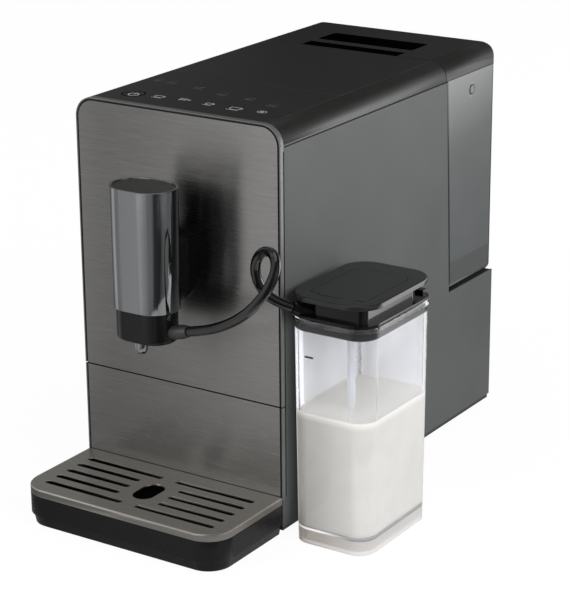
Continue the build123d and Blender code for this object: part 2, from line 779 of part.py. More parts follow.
def chassis():
    """Inner frame: front frame, deck over the drawer, bulkhead and two motor shelves."""
    side = INNER - FIT
    front = BEZEL_DEPTH + FIT
    top = COVER_UNDERSIDE - COVER_SKIN - EDGE_ROUND
    frame = block(-side, side, front, FRAME_REAR, DECK_TOP, top)
    frame -= block(
        -side + FRAME_BORDER, side - FRAME_BORDER, front - OVERRUN, FRAME_REAR + OVERRUN,
        DECK_TOP + FRAME_BORDER, top - FRAME_BORDER,
    )
    frame += block(-side, side, front, BULKHEAD_REAR, DECK_TOP - DECK_THICK, DECK_TOP)
    frame += block(-side, side, BULKHEAD_Y, BULKHEAD_REAR, PANEL_FOOT, BREW_TOP_Z)
    frame -= block(
        CHUTE_LEFT, CHUTE_RIGHT, BULKHEAD_Y - OVERRUN, BULKHEAD_REAR + OVERRUN, CHUTE_LOW, CHUTE_HIGH
    )
    frame -= block(
        PIPE_WINDOW_LEFT, PIPE_WINDOW_RIGHT, BULKHEAD_Y - OVERRUN, BULKHEAD_REAR + OVERRUN,
        PIPE_WINDOW_LOW, PIPE_WINDOW_HIGH,
    )
    shelf_left = GRINDER_X - GEARBOX_LEFT
    shelf_right = GRINDER_X + GEARBOX_RIGHT
    shelf_rear = GRINDER_Y - GRINDER_MOTOR_RADIUS - SHELF_GAP
    frame += block(
        shelf_left, shelf_right, BULKHEAD_REAR, shelf_rear,
        GEARBOX_Z - FIT - BULKHEAD_THICK, GEARBOX_Z - FIT,
    )
    return frame


def upper_fascia():
    """Frame behind the brushed front plate, with rounded top corners and a thin lip round it."""
    low = FRONT_SEAM + FRONT_GAP / 2
    outline = arch(HALF, low, BODY_HEIGHT, EDGE_ROUND)
    fascia = front_form(outline, PLATE_SKIN, BEZEL_DEPTH)
    inside = arch(HALF - BEZEL_LIP, low - OVERRUN, BODY_HEIGHT - BEZEL_LIP, EDGE_ROUND - BEZEL_LIP)
    fascia += front_form(outline - inside, 0, PLATE_SKIN)
    return fascia - rod((0, -OVERRUN, DUCT_Z), (0, BEZEL_DEPTH + OVERRUN, DUCT_Z), DUCT_RADIUS)


def upper_front_plate():
    outline = arch(
        HALF - PLATE_INSET, FRONT_SEAM + FRONT_GAP / 2, BODY_HEIGHT - PLATE_INSET, EDGE_ROUND - PLATE_INSET
    )
    plate = front_form(outline, 0, PLATE_SKIN)
    return plate - rod((0, -OVERRUN, DUCT_Z), (0, OVERRUN, DUCT_Z), DUCT_RADIUS)


def lower_fascia():
    """Front of the drawer, sloped at its lower rear edge, with a thin lip at each side."""
    high = FRONT_SEAM - FRONT_GAP / 2
    outline = polygon(
        (PLATE_SKIN, FASCIA_FOOT),
        (BEZEL_DEPTH, FASCIA_FOOT + BEZEL_DEPTH - PLATE_SKIN),
        (BEZEL_DEPTH, high),
        (PLATE_SKIN, high),
    )
    fascia = side_form(outline, -HALF, HALF)
    for x in (-HALF, HALF - BEZEL_LIP):
        fascia += block(x, x + BEZEL_LIP, 0, PLATE_SKIN, FASCIA_FOOT, high)
    return fascia


def lower_front_plate():
    side = HALF - PLATE_INSET
    return block(-side, side, 0, PLATE_SKIN, GRID_TOP + SEAM, FRONT_SEAM - FRONT_GAP / 2)


# Top


def top_cover():
    """Top shell with rounded long edges, a recess for the panel and a mouth for the beans."""
    front = BEZEL_DEPTH + SEAM
    outer = front_form(arch(HALF, STRIP_Z - EDGE_ROUND, BODY_HEIGHT, EDGE_ROUND), front, COVER_REAR)
    outer -= block(
        -HALF - OVERRUN, HALF + OVERRUN, -OVERRUN, BODY_DEPTH, STRIP_Z - 2 * EDGE_ROUND, STRIP_Z
    )
    inner = arch(
        HALF - COVER_SKIN, STRIP_Z - 2 * EDGE_ROUND, COVER_UNDERSIDE, EDGE_ROUND - COVER_SKIN
    )
    cover = outer - front_form(inner, front + COVER_SKIN, COVER_REAR - COVER_SKIN)
    cover -= block(
        -PANEL_HALF, PANEL_HALF, front - OVERRUN, LID_SEAM, RECESS_Z, BODY_HEIGHT + OVERRUN
    )
    cover -= block(
        -PANEL_HALF, PANEL_HALF, LID_SEAM - SEAM, COVER_REAR + OVERRUN,
        BODY_HEIGHT - LID_THICK, BODY_HEIGHT + OVERRUN,
    )
    cover -= block(
        -MOUTH_HALF, MOUTH_HALF, MOUTH_FRONT, MOUTH_REAR,
        COVER_UNDERSIDE - OVERRUN, BODY_HEIGHT + OVERRUN,
    )
    cover -= post(
        BUTTON_X, BUTTON_Y, COVER_UNDERSIDE - OVERRUN, BODY_HEIGHT + OVERRUN,
        BUTTON_RADIUS + 2 * BUTTON_GAP,
    )
    return cover


def control_panel():
    """Dark glass in the top, in front of the bean lid."""
    side = PANEL_HALF - SEAM
    front = BEZEL_DEPTH + SEAM
    glass = block(-side, side, front, LID_SEAM - SEAM, RECESS_Z, BODY_HEIGHT)
    return glass - post(
        BUTTON_X, BUTTON_Y, RECESS_Z - OVERRUN, BODY_HEIGHT + OVERRUN, BUTTON_RADIUS + BUTTON_GAP
    )


def power_button():
    """Push button with a dished top, kept in by a flange under the cover."""
    top = BODY_HEIGHT + BUTTON_PROUD
    flange_top = COVER_UNDERSIDE - FIT
    flange_low = flange_top - BUTTON_FLANGE
    button = post(BUTTON_X, BUTTON_Y, flange_low, top, BUTTON_RADIUS)
    button += post(BUTTON_X, BUTTON_Y, flange_low, flange_top, BUTTON_RADIUS + 1.5 * BUTTON_FLANGE)
    button += post(BUTTON_X, BUTTON_Y, flange_low - BUTTON_NUB, flange_low, BUTTON_NUB_RADIUS)
    dish = cone(
        BUTTON_X, BUTTON_Y, top - BUTTON_DISH, top,
        BUTTON_RADIUS - 2 * BUTTON_DISH - BUTTON_FLANGE, BUTTON_RADIUS - BUTTON_DISH,
    )
    return button - dish


def ui_board():
    """Board under the control panel, on posts, with the switch under the button."""
    side = UI_BOARD_HALF_WIDTH
    top = UI_BOARD_Z + UI_BOARD_THICK
    board = block(-side, side, UI_BOARD_FRONT, UI_BOARD_REAR, UI_BOARD_Z, top)
    inset = BOARD_POST_RADIUS + UI_BOARD_THICK
    for x in (-side + inset, side - inset):
        for y in (UI_BOARD_FRONT + inset, UI_BOARD_REAR - inset):
            board += post(x, y, top - FIT, COVER_UNDERSIDE - FIT, BOARD_POST_RADIUS)
    nub_low = COVER_UNDERSIDE - FIT - BUTTON_FLANGE - BUTTON_NUB
    switch = nub_low - BUTTON_TRAVEL - BUTTON_GAP
    half = BUTTON_NUB_RADIUS + BUTTON_FLANGE
    board += block(BUTTON_X - half, BUTTON_X + half, BUTTON_Y - half, BUTTON_Y + half, top - FIT, switch)
    return board


def main_board():
    """Power board on standoffs from the right panel, with its taller parts."""
    rear_face = MAIN_BOARD_X + MAIN_BOARD_THICK
    y0, y1, z0, z1 = MAIN_BOARD_FRONT, MAIN_BOARD_REAR, MAIN_BOARD_LOW, MAIN_BOARD_TOP
    board = block(MAIN_BOARD_X, rear_face, y0, y1, z0, z1)
    inset = 2 * BOARD_POST_RADIUS
    for y in (y0 + inset, y1 - inset):
        for z in (z0 + inset, z1 - inset):
            board += rod((rear_face - FIT, y, z), (INNER - FIT, y, z), BOARD_POST_RADIUS)
    third = (y1 - y0) / 3
    tall = (z1 - z0) / 5
    board += block(MAIN_BOARD_X - third, MAIN_BOARD_X + FIT, y0 + third, y0 + 2 * third, z0 + tall, z0 + 2 * tall)
    for i in range(3):
        z = z0 + (3 + i / 2) * tall
        can = (MAIN_BOARD_X - third / 2, y0 + third, z)
        board += rod(can, (MAIN_BOARD_X + FIT, y0 + third, z), tall / 6)
    return board


def bean_lid():
    """Lift-off lid over the beans, with a skirt that drops into the mouth."""
    side = PANEL_HALF - SEAM
    low = BODY_HEIGHT - LID_THICK
    lid = block(-side, side, LID_SEAM + SEAM / 2, COVER_REAR - SEAM, low, BODY_HEIGHT)
    x, y0, y1 = MOUTH_HALF - SKIRT_GAP, MOUTH_FRONT + SKIRT_GAP, MOUTH_REAR - SKIRT_GAP
    skirt = block(-x, x, y0, y1, SKIRT_LOW, low)
    wall = SKIRT_WALL
    skirt -= block(-x + wall, x - wall, y0 + wall, y1 - wall, SKIRT_LOW - OVERRUN, low)
    return lid + skirt


def bean_lid_seal():
    """Rubber ring under the skirt, which seals on the hopper."""
    x, y0, y1 = MOUTH_HALF - SKIRT_GAP, MOUTH_FRONT + SKIRT_GAP, MOUTH_REAR - SKIRT_GAP
    ring = block(-x, x, y0, y1, SEAL_LOW, SKIRT_LOW)
    wide = SEAL_WIDTH
    return ring - block(
        -x + wide, x - wide, y0 + wide, y1 - wide, SEAL_LOW - OVERRUN, SKIRT_LOW + OVERRUN
    )


def bean_hopper():
    """Bean container: a rim under the cover, a deck and a funnel to the grinder."""
    wall = HOPPER_WALL
    x, y0, y1 = MOUTH_HALF + wall, MOUTH_FRONT - wall, MOUTH_REAR + wall
    deck_low = LEDGE_Z - wall
    hopper = block(-x, x, y0, y1, deck_low, COVER_UNDERSIDE - FIT)
    hopper -= block(-x + wall, x - wall, y0 + wall, y1 - wall, LEDGE_Z, BODY_HEIGHT)

    def funnel(grow, low, high):
        mouth = Pos(GRINDER_X, GRINDER_Y, high) * Rectangle(FUNNEL_WIDTH + grow, FUNNEL_DEPTH + grow)
        throat = Pos(GRINDER_X, GRINDER_Y, low) * Rectangle(THROAT_WIDTH + grow, THROAT_WIDTH + grow)
        return loft([throat, mouth])

    hopper += funnel(2 * wall, THROAT_Z, LEDGE_Z)
    hopper -= funnel(0, THROAT_Z, LEDGE_Z)
    hopper -= post(KNOB_X, GRINDER_Y, deck_low - OVERRUN, LEDGE_Z + OVERRUN, KNOB_SHAFT_RADIUS + SHAFT_GAP)
    return hopper


def grind_knob():
    """Grind setting knob on the hopper's deck, with a grip and its shaft."""
    low = LEDGE_Z + FIT
    top = low + KNOB_HEIGHT
    knob = post(KNOB_X, GRINDER_Y, low, low + KNOB_HEIGHT / 2, KNOB_RADIUS)
    grip = slab(
        KNOB_X - KNOB_GRIP / 2, KNOB_X + KNOB_GRIP / 2,
        GRINDER_Y - KNOB_RADIUS + KNOB_GRIP / 2, GRINDER_Y + KNOB_RADIUS - KNOB_GRIP / 2,
        low, top, KNOB_GRIP / 3,
    )
    return knob + grip + post(KNOB_X, GRINDER_Y, low - KNOB_SHAFT_LENGTH, low, KNOB_SHAFT_RADIUS)


# Grinder


def grinder_housing():
    """Burr chamber over an open gearbox frame, with the chute for the ground coffee."""
    x, y = GRINDER_X, GRINDER_Y
    left, right = x - GEARBOX_LEFT, x + GEARBOX_RIGHT
    front, rear = y - GEARBOX_HALF_DEPTH, y + GEARBOX_HALF_DEPTH
    top = THROAT_Z - FIT
    floor_top = HOUSING_FLOOR_Z + HOUSING_FLOOR
    housing = block(left, right, front, rear, HOUSING_FLOOR_Z, floor_top)
    housing += post(x, y, HOUSING_FLOOR_Z, top, HOUSING_RADIUS)
    chute_z = floor_top + CHUTE_WALL
    chute_end = x - HOUSING_RADIUS - CHUTE_REACH
    half = CHUTE_WIDTH / 2
    housing += block(chute_end, x, y - half, y + half, chute_z, chute_z + CHUTE_HEIGHT)
    bore = HOUSING_RADIUS - HOUSING_WALL
    housing -= post(x, y, floor_top, BURR_LEDGE_Z, bore - BURR_LEDGE)
    housing -= post(x, y, BURR_LEDGE_Z, top + OVERRUN, bore)
    wall = CHUTE_WALL
    housing -= block(
        chute_end - OVERRUN, x, y - half + wall, y + half - wall, chute_z + wall, chute_z + CHUTE_HEIGHT - wall
    )
    housing -= post(x, y, HOUSING_FLOOR_Z - OVERRUN, floor_top + OVERRUN, BURR_SHAFT_RADIUS + SHAFT_GAP)
    plate = block(left, right, front, rear, GEARBOX_Z, GEARBOX_TOP)
    plate -= post(x, y, GEARBOX_Z - OVERRUN, GEARBOX_TOP + OVERRUN, BURR_SHAFT_RADIUS + SHAFT_GAP)
    plate -= post(
        GRINDER_PINION_X, y, GEARBOX_Z - OVERRUN, GEARBOX_TOP + OVERRUN, PINION_SHAFT_RADIUS + SHAFT_GAP
    )
    for px in (left + PILLAR_INSET, right - PILLAR_INSET):
        for py in (front + PILLAR_INSET, rear - PILLAR_INSET):
            plate += post(px, py, GEARBOX_TOP - FIT, HOUSING_FLOOR_Z + FIT, PILLAR_RADIUS)
    return housing + plate


def ring_burr():
    """Outer burr, seated on the ledge of the housing."""
    outer = HOUSING_RADIUS - HOUSING_WALL - SHAFT_GAP
    top = BURR_LEDGE_Z + BURR_HEIGHT
    ring = post(GRINDER_X, GRINDER_Y, BURR_LEDGE_Z, top, outer)
    return ring - cone(
        GRINDER_X, GRINDER_Y, BURR_LEDGE_Z, top, RING_BURR_LOW_RADIUS, RING_BURR_TOP_RADIUS
    )


def cone_burr():
    """Inner burr on the driven shaft, with cutting grooves."""
    low, top = BURR_LEDGE_Z, BURR_LEDGE_Z + BURR_HEIGHT
    burr = cone(GRINDER_X, GRINDER_Y, low, top, CONE_BURR_LOW_RADIUS, CONE_BURR_TOP_RADIUS)
    return burr - post(GRINDER_X, GRINDER_Y, low - OVERRUN, top + OVERRUN, BURR_SHAFT_RADIUS + SHAFT_GAP / 2)


def burr_gear():
    """Wheel and shaft that turn the inner burr."""
    wheel = involute_gear(WHEEL_TEETH, GRINDER_X, GRINDER_Y, GRINDER_GEAR_Z, 0)
    top = BURR_LEDGE_Z + BURR_HEIGHT + FIT
    return wheel + post(GRINDER_X, GRINDER_Y, GEARBOX_Z + FIT, top, BURR_SHAFT_RADIUS)


def grinder_pinion():
    """Pinion on the grinder motor's shaft."""
    turn = math.pi + math.pi / PINION_TEETH
    gear = involute_gear(PINION_TEETH, GRINDER_PINION_X, GRINDER_Y, GRINDER_GEAR_Z, turn)
    low = GEARBOX_Z - 2 * GEARBOX_PLATE
    return gear + post(GRINDER_PINION_X, GRINDER_Y, low, GRINDER_GEAR_Z + GEAR_FACE, PINION_SHAFT_RADIUS)


def grinder_motor():
    """Motor under the gearbox plate."""
    top = GEARBOX_Z - FIT
    motor = post(GRINDER_PINION_X, GRINDER_Y, top - GRINDER_MOTOR_LENGTH, top, GRINDER_MOTOR_RADIUS)
    low = GEARBOX_Z - 2 * GEARBOX_PLATE - FIT
    return motor - post(GRINDER_PINION_X, GRINDER_Y, low, top + OVERRUN, PINION_SHAFT_RADIUS + SHAFT_GAP)


# Brew unit


def brew_frame():
    """Frame that holds the cylinder, the spindle and the drive motor's bracket."""
    x0, x1 = BREW_X - BREW_HALF_WIDTH, BREW_X + BREW_HALF_WIDTH
    plate = BREW_PLATE
    base_top = BREW_BASE_Z + plate
    frame = block(x0, x1, BREW_FRONT, BREW_REAR, BREW_BASE_Z, base_top)
    frame += block(x0, x1, BREW_REAR - plate, BREW_REAR, BREW_BASE_Z, BREW_TOP_Z)
    frame += block(x0, x1, BREW_Y - CYLINDER_RADIUS, BREW_REAR, BREW_TOP_Z - plate, BREW_TOP_Z)
    collar = post(BREW_X, BREW_Y, COLLAR_Z, COLLAR_Z + COLLAR_HEIGHT, CYLINDER_RADIUS + FIT + COLLAR_WALL)
    collar += block(
        BREW_X - CYLINDER_RADIUS, BREW_X + CYLINDER_RADIUS, BREW_Y, BREW_REAR - plate / 2,
        COLLAR_Z, COLLAR_Z + COLLAR_HEIGHT,
    )
    frame += collar
    frame -= post(BREW_X, BREW_Y, COLLAR_Z - OVERRUN, COLLAR_Z + COLLAR_HEIGHT + OVERRUN, CYLINDER_RADIUS + FIT)
    frame -= post(BREW_X, BREW_Y, BREW_TOP_Z - plate - OVERRUN, BREW_TOP_Z + OVERRUN, PIPE_RADIUS + FIT)
    frame -= post(BREW_X, BREW_Y, BREW_BASE_Z - OVERRUN, base_top + OVERRUN, SPINDLE_RADIUS + SHAFT_GAP)
    lug = plate
    for lug_x in (x0, x1 - lug):
        frame += block(lug_x, lug_x + lug, BULKHEAD_REAR + FIT, BREW_FRONT + plate, BREW_BASE_Z, CYLINDER_LOW)
    motor_top = BREW_GEAR_Z - FIT
    bracket_low = motor_top - BREW_MOTOR_PLATE
    bracket_x = BREW_X + BREW_MOTOR_RADIUS
    bracket_rear = BREW_PINION_Y + BREW_MOTOR_RADIUS
    bracket = block(x0, bracket_x, BULKHEAD_REAR + FIT, bracket_rear, bracket_low, motor_top)
    bracket -= post(BREW_X, BREW_PINION_Y, bracket_low - OVERRUN, motor_top + OVERRUN, PINION_SHAFT_RADIUS + SHAFT_GAP)
    bracket += block(x0, x0 + BREW_WEB, BULKHEAD_REAR + FIT, bracket_rear, bracket_low, base_top)
    return frame + bracket


def brew_cylinder():
    """Open cylinder in which the coffee is pressed and brewed."""
    top = BREW_TOP_Z - BREW_PLATE
    tube = post(BREW_X, BREW_Y, CYLINDER_LOW, top, CYLINDER_RADIUS)
    return tube - post(
        BREW_X, BREW_Y, CYLINDER_LOW - OVERRUN, top + OVERRUN, CYLINDER_RADIUS - CYLINDER_WALL
    )


def brew_piston():
    """Piston with a hollow stem over the spindle."""
    piston = post(
        BREW_X, BREW_Y, PISTON_Z, PISTON_Z + PISTON_HEIGHT, CYLINDER_RADIUS - CYLINDER_WALL - PISTON_GAP
    )
    piston += post(BREW_X, BREW_Y, STEM_FOOT, PISTON_Z + FIT, STEM_RADIUS)
    return piston - post(BREW_X, BREW_Y, STEM_FOOT - OVERRUN, PISTON_Z - FIT, SPINDLE_RADIUS + SHAFT_GAP)


def brew_spindle():
    """Spindle with its wheel, which raises the piston."""
    wheel = involute_gear(WHEEL_TEETH, BREW_X, BREW_Y, BREW_GEAR_Z, -math.pi / 2)
    return wheel + post(BREW_X, BREW_Y, SPINDLE_FOOT, SPINDLE_TOP, SPINDLE_RADIUS)


def brew_pinion():
    """Pinion on the brew motor's shaft."""
    turn = math.pi / 2 + math.pi / PINION_TEETH
    gear = involute_gear(PINION_TEETH, BREW_X, BREW_PINION_Y, BREW_GEAR_Z, turn)
    low = BREW_GEAR_Z - BREW_SHAFT_DEPTH
    return gear + post(BREW_X, BREW_PINION_Y, low, BREW_GEAR_Z + GEAR_FACE, PINION_SHAFT_RADIUS)


def brew_motor():
    """Motor hung under the brew frame's bracket."""
    top = BREW_GEAR_Z - FIT - BREW_MOTOR_PLATE
    motor = post(BREW_X, BREW_PINION_Y, top - BREW_MOTOR_LENGTH, top, BREW_MOTOR_RADIUS)
    low = BREW_GEAR_Z - BREW_SHAFT_DEPTH - FIT
    return motor - post(BREW_X, BREW_PINION_Y, low, top + OVERRUN, PINION_SHAFT_RADIUS + SHAFT_GAP)


# Water and heat


def pump():
    """Vibration pump: a square coil with round ends and noses."""
    half = PUMP_COIL / 2
    body = block(PUMP_X - half, PUMP_X + half, PUMP_Y - half, PUMP_Y + half, PUMP_Z - half, PUMP_Z + half)
    end = half + PUMP_END_LENGTH
    nose = end + PUMP_NOSE_LENGTH
    body += rod((PUMP_X, PUMP_Y - end, PUMP_Z), (PUMP_X, PUMP_Y + end, PUMP_Z), PUMP_END_RADIUS)
    return body + rod((PUMP_X, PUMP_Y - nose, PUMP_Z), (PUMP_X, PUMP_Y + nose, PUMP_Z), PUMP_NOSE_RADIUS)


def pump_mounts():
    """Rubber blocks under the pump's round ends."""
    top = PUMP_Z - PUMP_END_RADIUS - FIT / 2
    half = MOUNT_WIDTH / 2
    blocks = []
    for side in (-1, 1):
        middle = PUMP_Y + side * (PUMP_COIL / 2 + PUMP_END_LENGTH / 2)
        blocks.append(block(
            PUMP_X - half, PUMP_X + half, middle - MOUNT_DEPTH / 2, middle + MOUNT_DEPTH / 2, PANEL_FOOT, top
        ))
    return Compound(blocks)


def thermoblock():
    """Finned aluminium heater on four short feet."""
    low = DECK_TOP + HEATER_FOOT
    heater = block(HEATER_LEFT, HEATER_RIGHT, HEATER_FRONT, HEATER_REAR, low, HEATER_TOP)
    fins = int((HEATER_RIGHT - HEATER_LEFT - HEATER_FIN) / HEATER_FIN_PITCH)
    for i in range(fins):
        x = HEATER_LEFT + HEATER_FIN + i * HEATER_FIN_PITCH
        heater -= block(
            x, x + HEATER_FIN_PITCH - HEATER_FIN, HEATER_FRONT - OVERRUN, HEATER_REAR + OVERRUN,
            HEATER_TOP - HEATER_FIN_HEIGHT, HEATER_TOP + OVERRUN,
        )
    inset = 2 * HEATER_FOOT
    for x in (HEATER_LEFT + inset, HEATER_RIGHT - inset):
        for y in (HEATER_FRONT + inset, HEATER_REAR - inset):
            heater += post(x, y, DECK_TOP, low + FIT, HEATER_FOOT)
    return heater


def flow_meter():
    """Flow meter on the floor, under the tank's seat."""
    top = PANEL_FOOT + METER_HEIGHT
    return post(METER_X, VALVE_Y, PANEL_FOOT, top, METER_RADIUS)


def water_pipes():
    """Pipes: tank seat to flow meter, pump to heater, and brew unit to spout."""
    seat_low = SEAT_TOP - SEAT_THICK
    meter_top = PANEL_FOOT + METER_HEIGHT
    tank_pipe = piped(
        [
            (0, VALVE_Y, seat_low), (0, VALVE_Y, METER_PIPE_Z),
            (METER_X, VALVE_Y, METER_PIPE_Z), (METER_X, VALVE_Y, meter_top),
        ],
        PIPE_RADIUS, PIPE_BEND,
    )
    pump_nose = PUMP_Y - PUMP_COIL / 2 - PUMP_END_LENGTH - PUMP_NOSE_LENGTH
    pump_pipe = piped(
        [
            (PUMP_X, pump_nose, PUMP_Z), (PUMP_X, pump_nose - 2 * PIPE_BEND, PUMP_Z),
            (PUMP_X, pump_nose - 2 * PIPE_BEND, HEATER_PIPE_Z), (PUMP_X, HEATER_REAR, HEATER_PIPE_Z),
        ],
        PIPE_RADIUS, PIPE_BEND,
    )
    brew_pipe = piped(
        [
            (BREW_X, BREW_Y, BREW_TOP_Z - BREW_PLATE), (BREW_X, BREW_Y, BREW_PIPE_Z),
            (BREW_X, SPOUT_PIPE_Y, BREW_PIPE_Z), (0, SPOUT_PIPE_Y, BREW_PIPE_Z),
            (0, SPOUT_PIPE_Y, DUCT_Z), (0, ARM_FRONT, DUCT_Z),
        ],
        PIPE_RADIUS, PIPE_BEND,
    )
    return Compound([tank_pipe, pump_pipe, brew_pipe])


# Water tank


def tank_bay():
    """Slanted wall and seat that hold the tank, on two legs."""
    side = INNER - FIT
    seat_low = SEAT_TOP - SEAT_THICK
    front_low = seam_y(SEAT_TOP)
    wall = polygon(
        (front_low - BAY_WALL, seat_low),
        (front_low, seat_low),
        (front_low, SEAT_TOP),
        (seam_y(STRIP_Z), STRIP_Z - SEAM),
        (seam_y(STRIP_Z) - BAY_WALL, STRIP_Z - SEAM),
        (front_low - BAY_WALL, SEAT_TOP),
    )
    bay = side_form(wall, -side, side)
    bay += block(-side, side, front_low - BAY_WALL, BACK_FACE - BACK_SKIN - FIT, seat_low, SEAT_TOP)
    for x in (-SEAT_LEG_X, SEAT_LEG_X - SEAT_LEG):
        bay += block(x, x + SEAT_LEG, SEAT_LEG_FRONT, SEAT_LEG_REAR, PANEL_FOOT, seat_low)
    bay -= rod((METER_X, VALVE_Y, METER_PIPE_Z), (0, VALVE_Y, METER_PIPE_Z), PIPE_RADIUS + FIT)
    recess = SEAT_TOP - VALVE_DROP - FIT
    bay -= post(0, VALVE_Y, recess, SEAT_TOP + OVERRUN, VALVE_RADIUS + FIT)
    return bay - post(0, VALVE_Y, seat_low - OVERRUN, recess, PIPE_RADIUS)


def tank_outline(gap, low, high, low_round):
    """The tank seen from the side, drawn in by a gap, with a rounded rear foot."""
    front_gap = TANK_GAP + gap
    outline = polygon(
        (seam_y(low) + front_gap, low), (BODY_DEPTH - gap, low),
        (BODY_DEPTH - gap, high), (seam_y(high) + front_gap, high),
    )
    if low_round <= 0:
        return outline
    rear = outline.vertices().group_by(Axis.X)[-1]
    return fillet(rear.sort_by(Axis.Y)[:1], low_round)


def water_tank():
    """Open tank with a slanted front, a rounded rear foot and a hole for its valve."""
    wall = TANK_WALL
    side = HALF - FIT / 2
    tank = side_form(tank_outline(0, TANK_FOOT, TANK_TOP, TANK_LOW_ROUND), -side, side)
    rear_edges = tank.edges().filter_by(Axis.Z).group_by(Axis.Y)[-1]
    tank = fillet(rear_edges, REAR_ROUND)
    inner = side_form(
        tank_outline(wall, TANK_FOOT + wall, TANK_TOP + OVERRUN, TANK_LOW_ROUND - wall),
        -side + wall, side - wall,
    )
    inner = fillet(inner.edges().filter_by(Axis.Z).group_by(Axis.Y)[-1], REAR_ROUND - wall)
    tank -= inner
    tank -= post(0, VALVE_Y, TANK_FOOT - OVERRUN, TANK_FOOT + wall + OVERRUN, VALVE_STEM_RADIUS + SHAFT_GAP)
    for face in (-1, 1):
        start = (face * side, BOSS_Y, BOSS_Z)
        end = (face * (side - BOSS_DEPTH), BOSS_Y, BOSS_Z)
        tank -= rod(start, end, BOSS_RADIUS) - rod(start, end, BOSS_RADIUS - BOSS_RING)
    return tank


def tank_valve():
    """Valve in the tank's floor, which drops into the seat."""
    low = SEAT_TOP - VALVE_DROP
    valve = post(0, VALVE_Y, low, TANK_FOOT, VALVE_RADIUS)
    valve += post(0, VALVE_Y, TANK_FOOT, TANK_FOOT + TANK_WALL + VALVE_RIM, VALVE_STEM_RADIUS)
    return valve - post(0, VALVE_Y, low - OVERRUN, TANK_FOOT, PIPE_RADIUS)


def tank_lid():
    """Lid with rounded long edges and two finger wells, with a bar between them."""
    front = TANK_SEAM_TOP + SEAM
    lid = front_form(arch(HALF, STRIP_Z - EDGE_ROUND, BODY_HEIGHT, EDGE_ROUND), front, BODY_DEPTH)
    lid &= slab(-HALF, HALF, front - 2 * REAR_ROUND, BODY_DEPTH, STRIP_Z, BODY_HEIGHT, REAR_ROUND)
    well_half = SLOT_HALF_WIDTH + SLOT_WALL
    inner = arch(
        HALF - COVER_SKIN, STRIP_Z - EDGE_ROUND, BODY_HEIGHT - COVER_SKIN, EDGE_ROUND - COVER_SKIN
    )
    hollow = front_form(inner, front + COVER_SKIN, BODY_DEPTH - REAR_ROUND)
    hollow -= block(
        -well_half, well_half, front, REAR_SLOT_REAR + SLOT_WALL, STRIP_Z - EDGE_ROUND, BODY_HEIGHT
    )
    lid -= hollow
    well_low = BODY_HEIGHT - SLOT_DEPTH
    lid -= block(
        -SLOT_HALF_WIDTH, SLOT_HALF_WIDTH, front - OVERRUN, FRONT_SLOT_REAR, well_low, BODY_HEIGHT + OVERRUN
    )
    lid -= slab(
        -SLOT_HALF_WIDTH, SLOT_HALF_WIDTH, REAR_SLOT_FRONT, REAR_SLOT_REAR,
        well_low, BODY_HEIGHT + OVERRUN, SLOT_ROUND,
    )
    skirt_x = HALF - FIT / 2 - TANK_WALL - FIT
    skirt_front = seam_y(TANK_TOP - LID_SKIRT_DEPTH) + TANK_GAP + TANK_WALL + FIT
    skirt_rear = BODY_DEPTH - TANK_WALL - FIT
    low = TANK_TOP - LID_SKIRT_DEPTH
    round_skirt = REAR_ROUND - TANK_WALL
    skirt = slab(-skirt_x, skirt_x, skirt_front, skirt_rear, low, STRIP_Z, round_skirt)
    wall = SKIRT_WALL
    skirt -= slab(
        -skirt_x + wall, skirt_x - wall, skirt_front + wall, skirt_rear - wall,
        low - OVERRUN, STRIP_Z + OVERRUN, round_skirt - wall,
    )
    return lid + skirt


# Drawer


def drip_tray():
    """Tray with a deep front basin, a tapered foot and a rear basin inside the body."""
    side = TRAY_HALF
    front = -TRAY_REACH
    rear = -SEAM
    basin = slab(-side, side, front, rear + 2 * TRAY_ROUND, TRAY_STEP_Z, TRAY_TOP, TRAY_ROUND)
    basin -= block(-HALF, HALF, rear, 4 * TRAY_ROUND, TRAY_FOOT, TRAY_TOP + OVERRUN)
    foot_side = side - TRAY_STEP
    foot_front = front + TRAY_STEP
    foot_outline = Pos(0, (foot_front + rear + 2 * TRAY_ROUND) / 2, TRAY_STEP_Z) * RectangleRounded(
        2 * foot_side, rear + 2 * TRAY_ROUND - foot_front, TRAY_ROUND - TRAY_STEP
    )
    foot = extrude(foot_outline, TRAY_FOOT - TRAY_STEP_Z, taper=TRAY_TAPER)
    foot -= block(-HALF, HALF, rear, 4 * TRAY_ROUND, TRAY_FOOT - OVERRUN, TRAY_TOP)
    tray = basin + foot
    wall = TRAY_WALL
    floor = TRAY_STEP_Z + TRAY_FLOOR
    tray -= slab(
        -side + wall, side - wall, front + wall, rear - wall, floor, TRAY_TOP + OVERRUN, TRAY_ROUND - wall
    )
    half = DRAWER_HALF_WIDTH
    inner_floor = DRAWER_FOOT + DRAWER_FLOOR
    bin_body = block(-half, half, rear - wall / 2, DRAWER_REAR, DRAWER_FOOT, TRAY_TOP)
    bin_body -= block(
        -half + wall, half - wall, RAIL_FRONT + RAIL_DEPTH, DRAWER_REAR - wall, inner_floor, TRAY_TOP + OVERRUN
    )
    tray += bin_body
    return tray + block(-half, half, RAIL_FRONT, RAIL_FRONT + RAIL_DEPTH, TRAY_TOP - FIT, FASCIA_FOOT)


def grid_outline(z0, z1, inset):
    """The cup plate's plan, drawn in by an inset and cut off at the front face."""
    side = TRAY_HALF - inset
    radius = TRAY_ROUND - inset
    plate = slab(-side, side, -TRAY_REACH + inset, 2 * TRAY_ROUND, z0, z1, radius)
    rear = -SEAM - inset
    return plate - block(-HALF, HALF, rear, 3 * TRAY_ROUND, z0 - OVERRUN, z1 + OVERRUN)


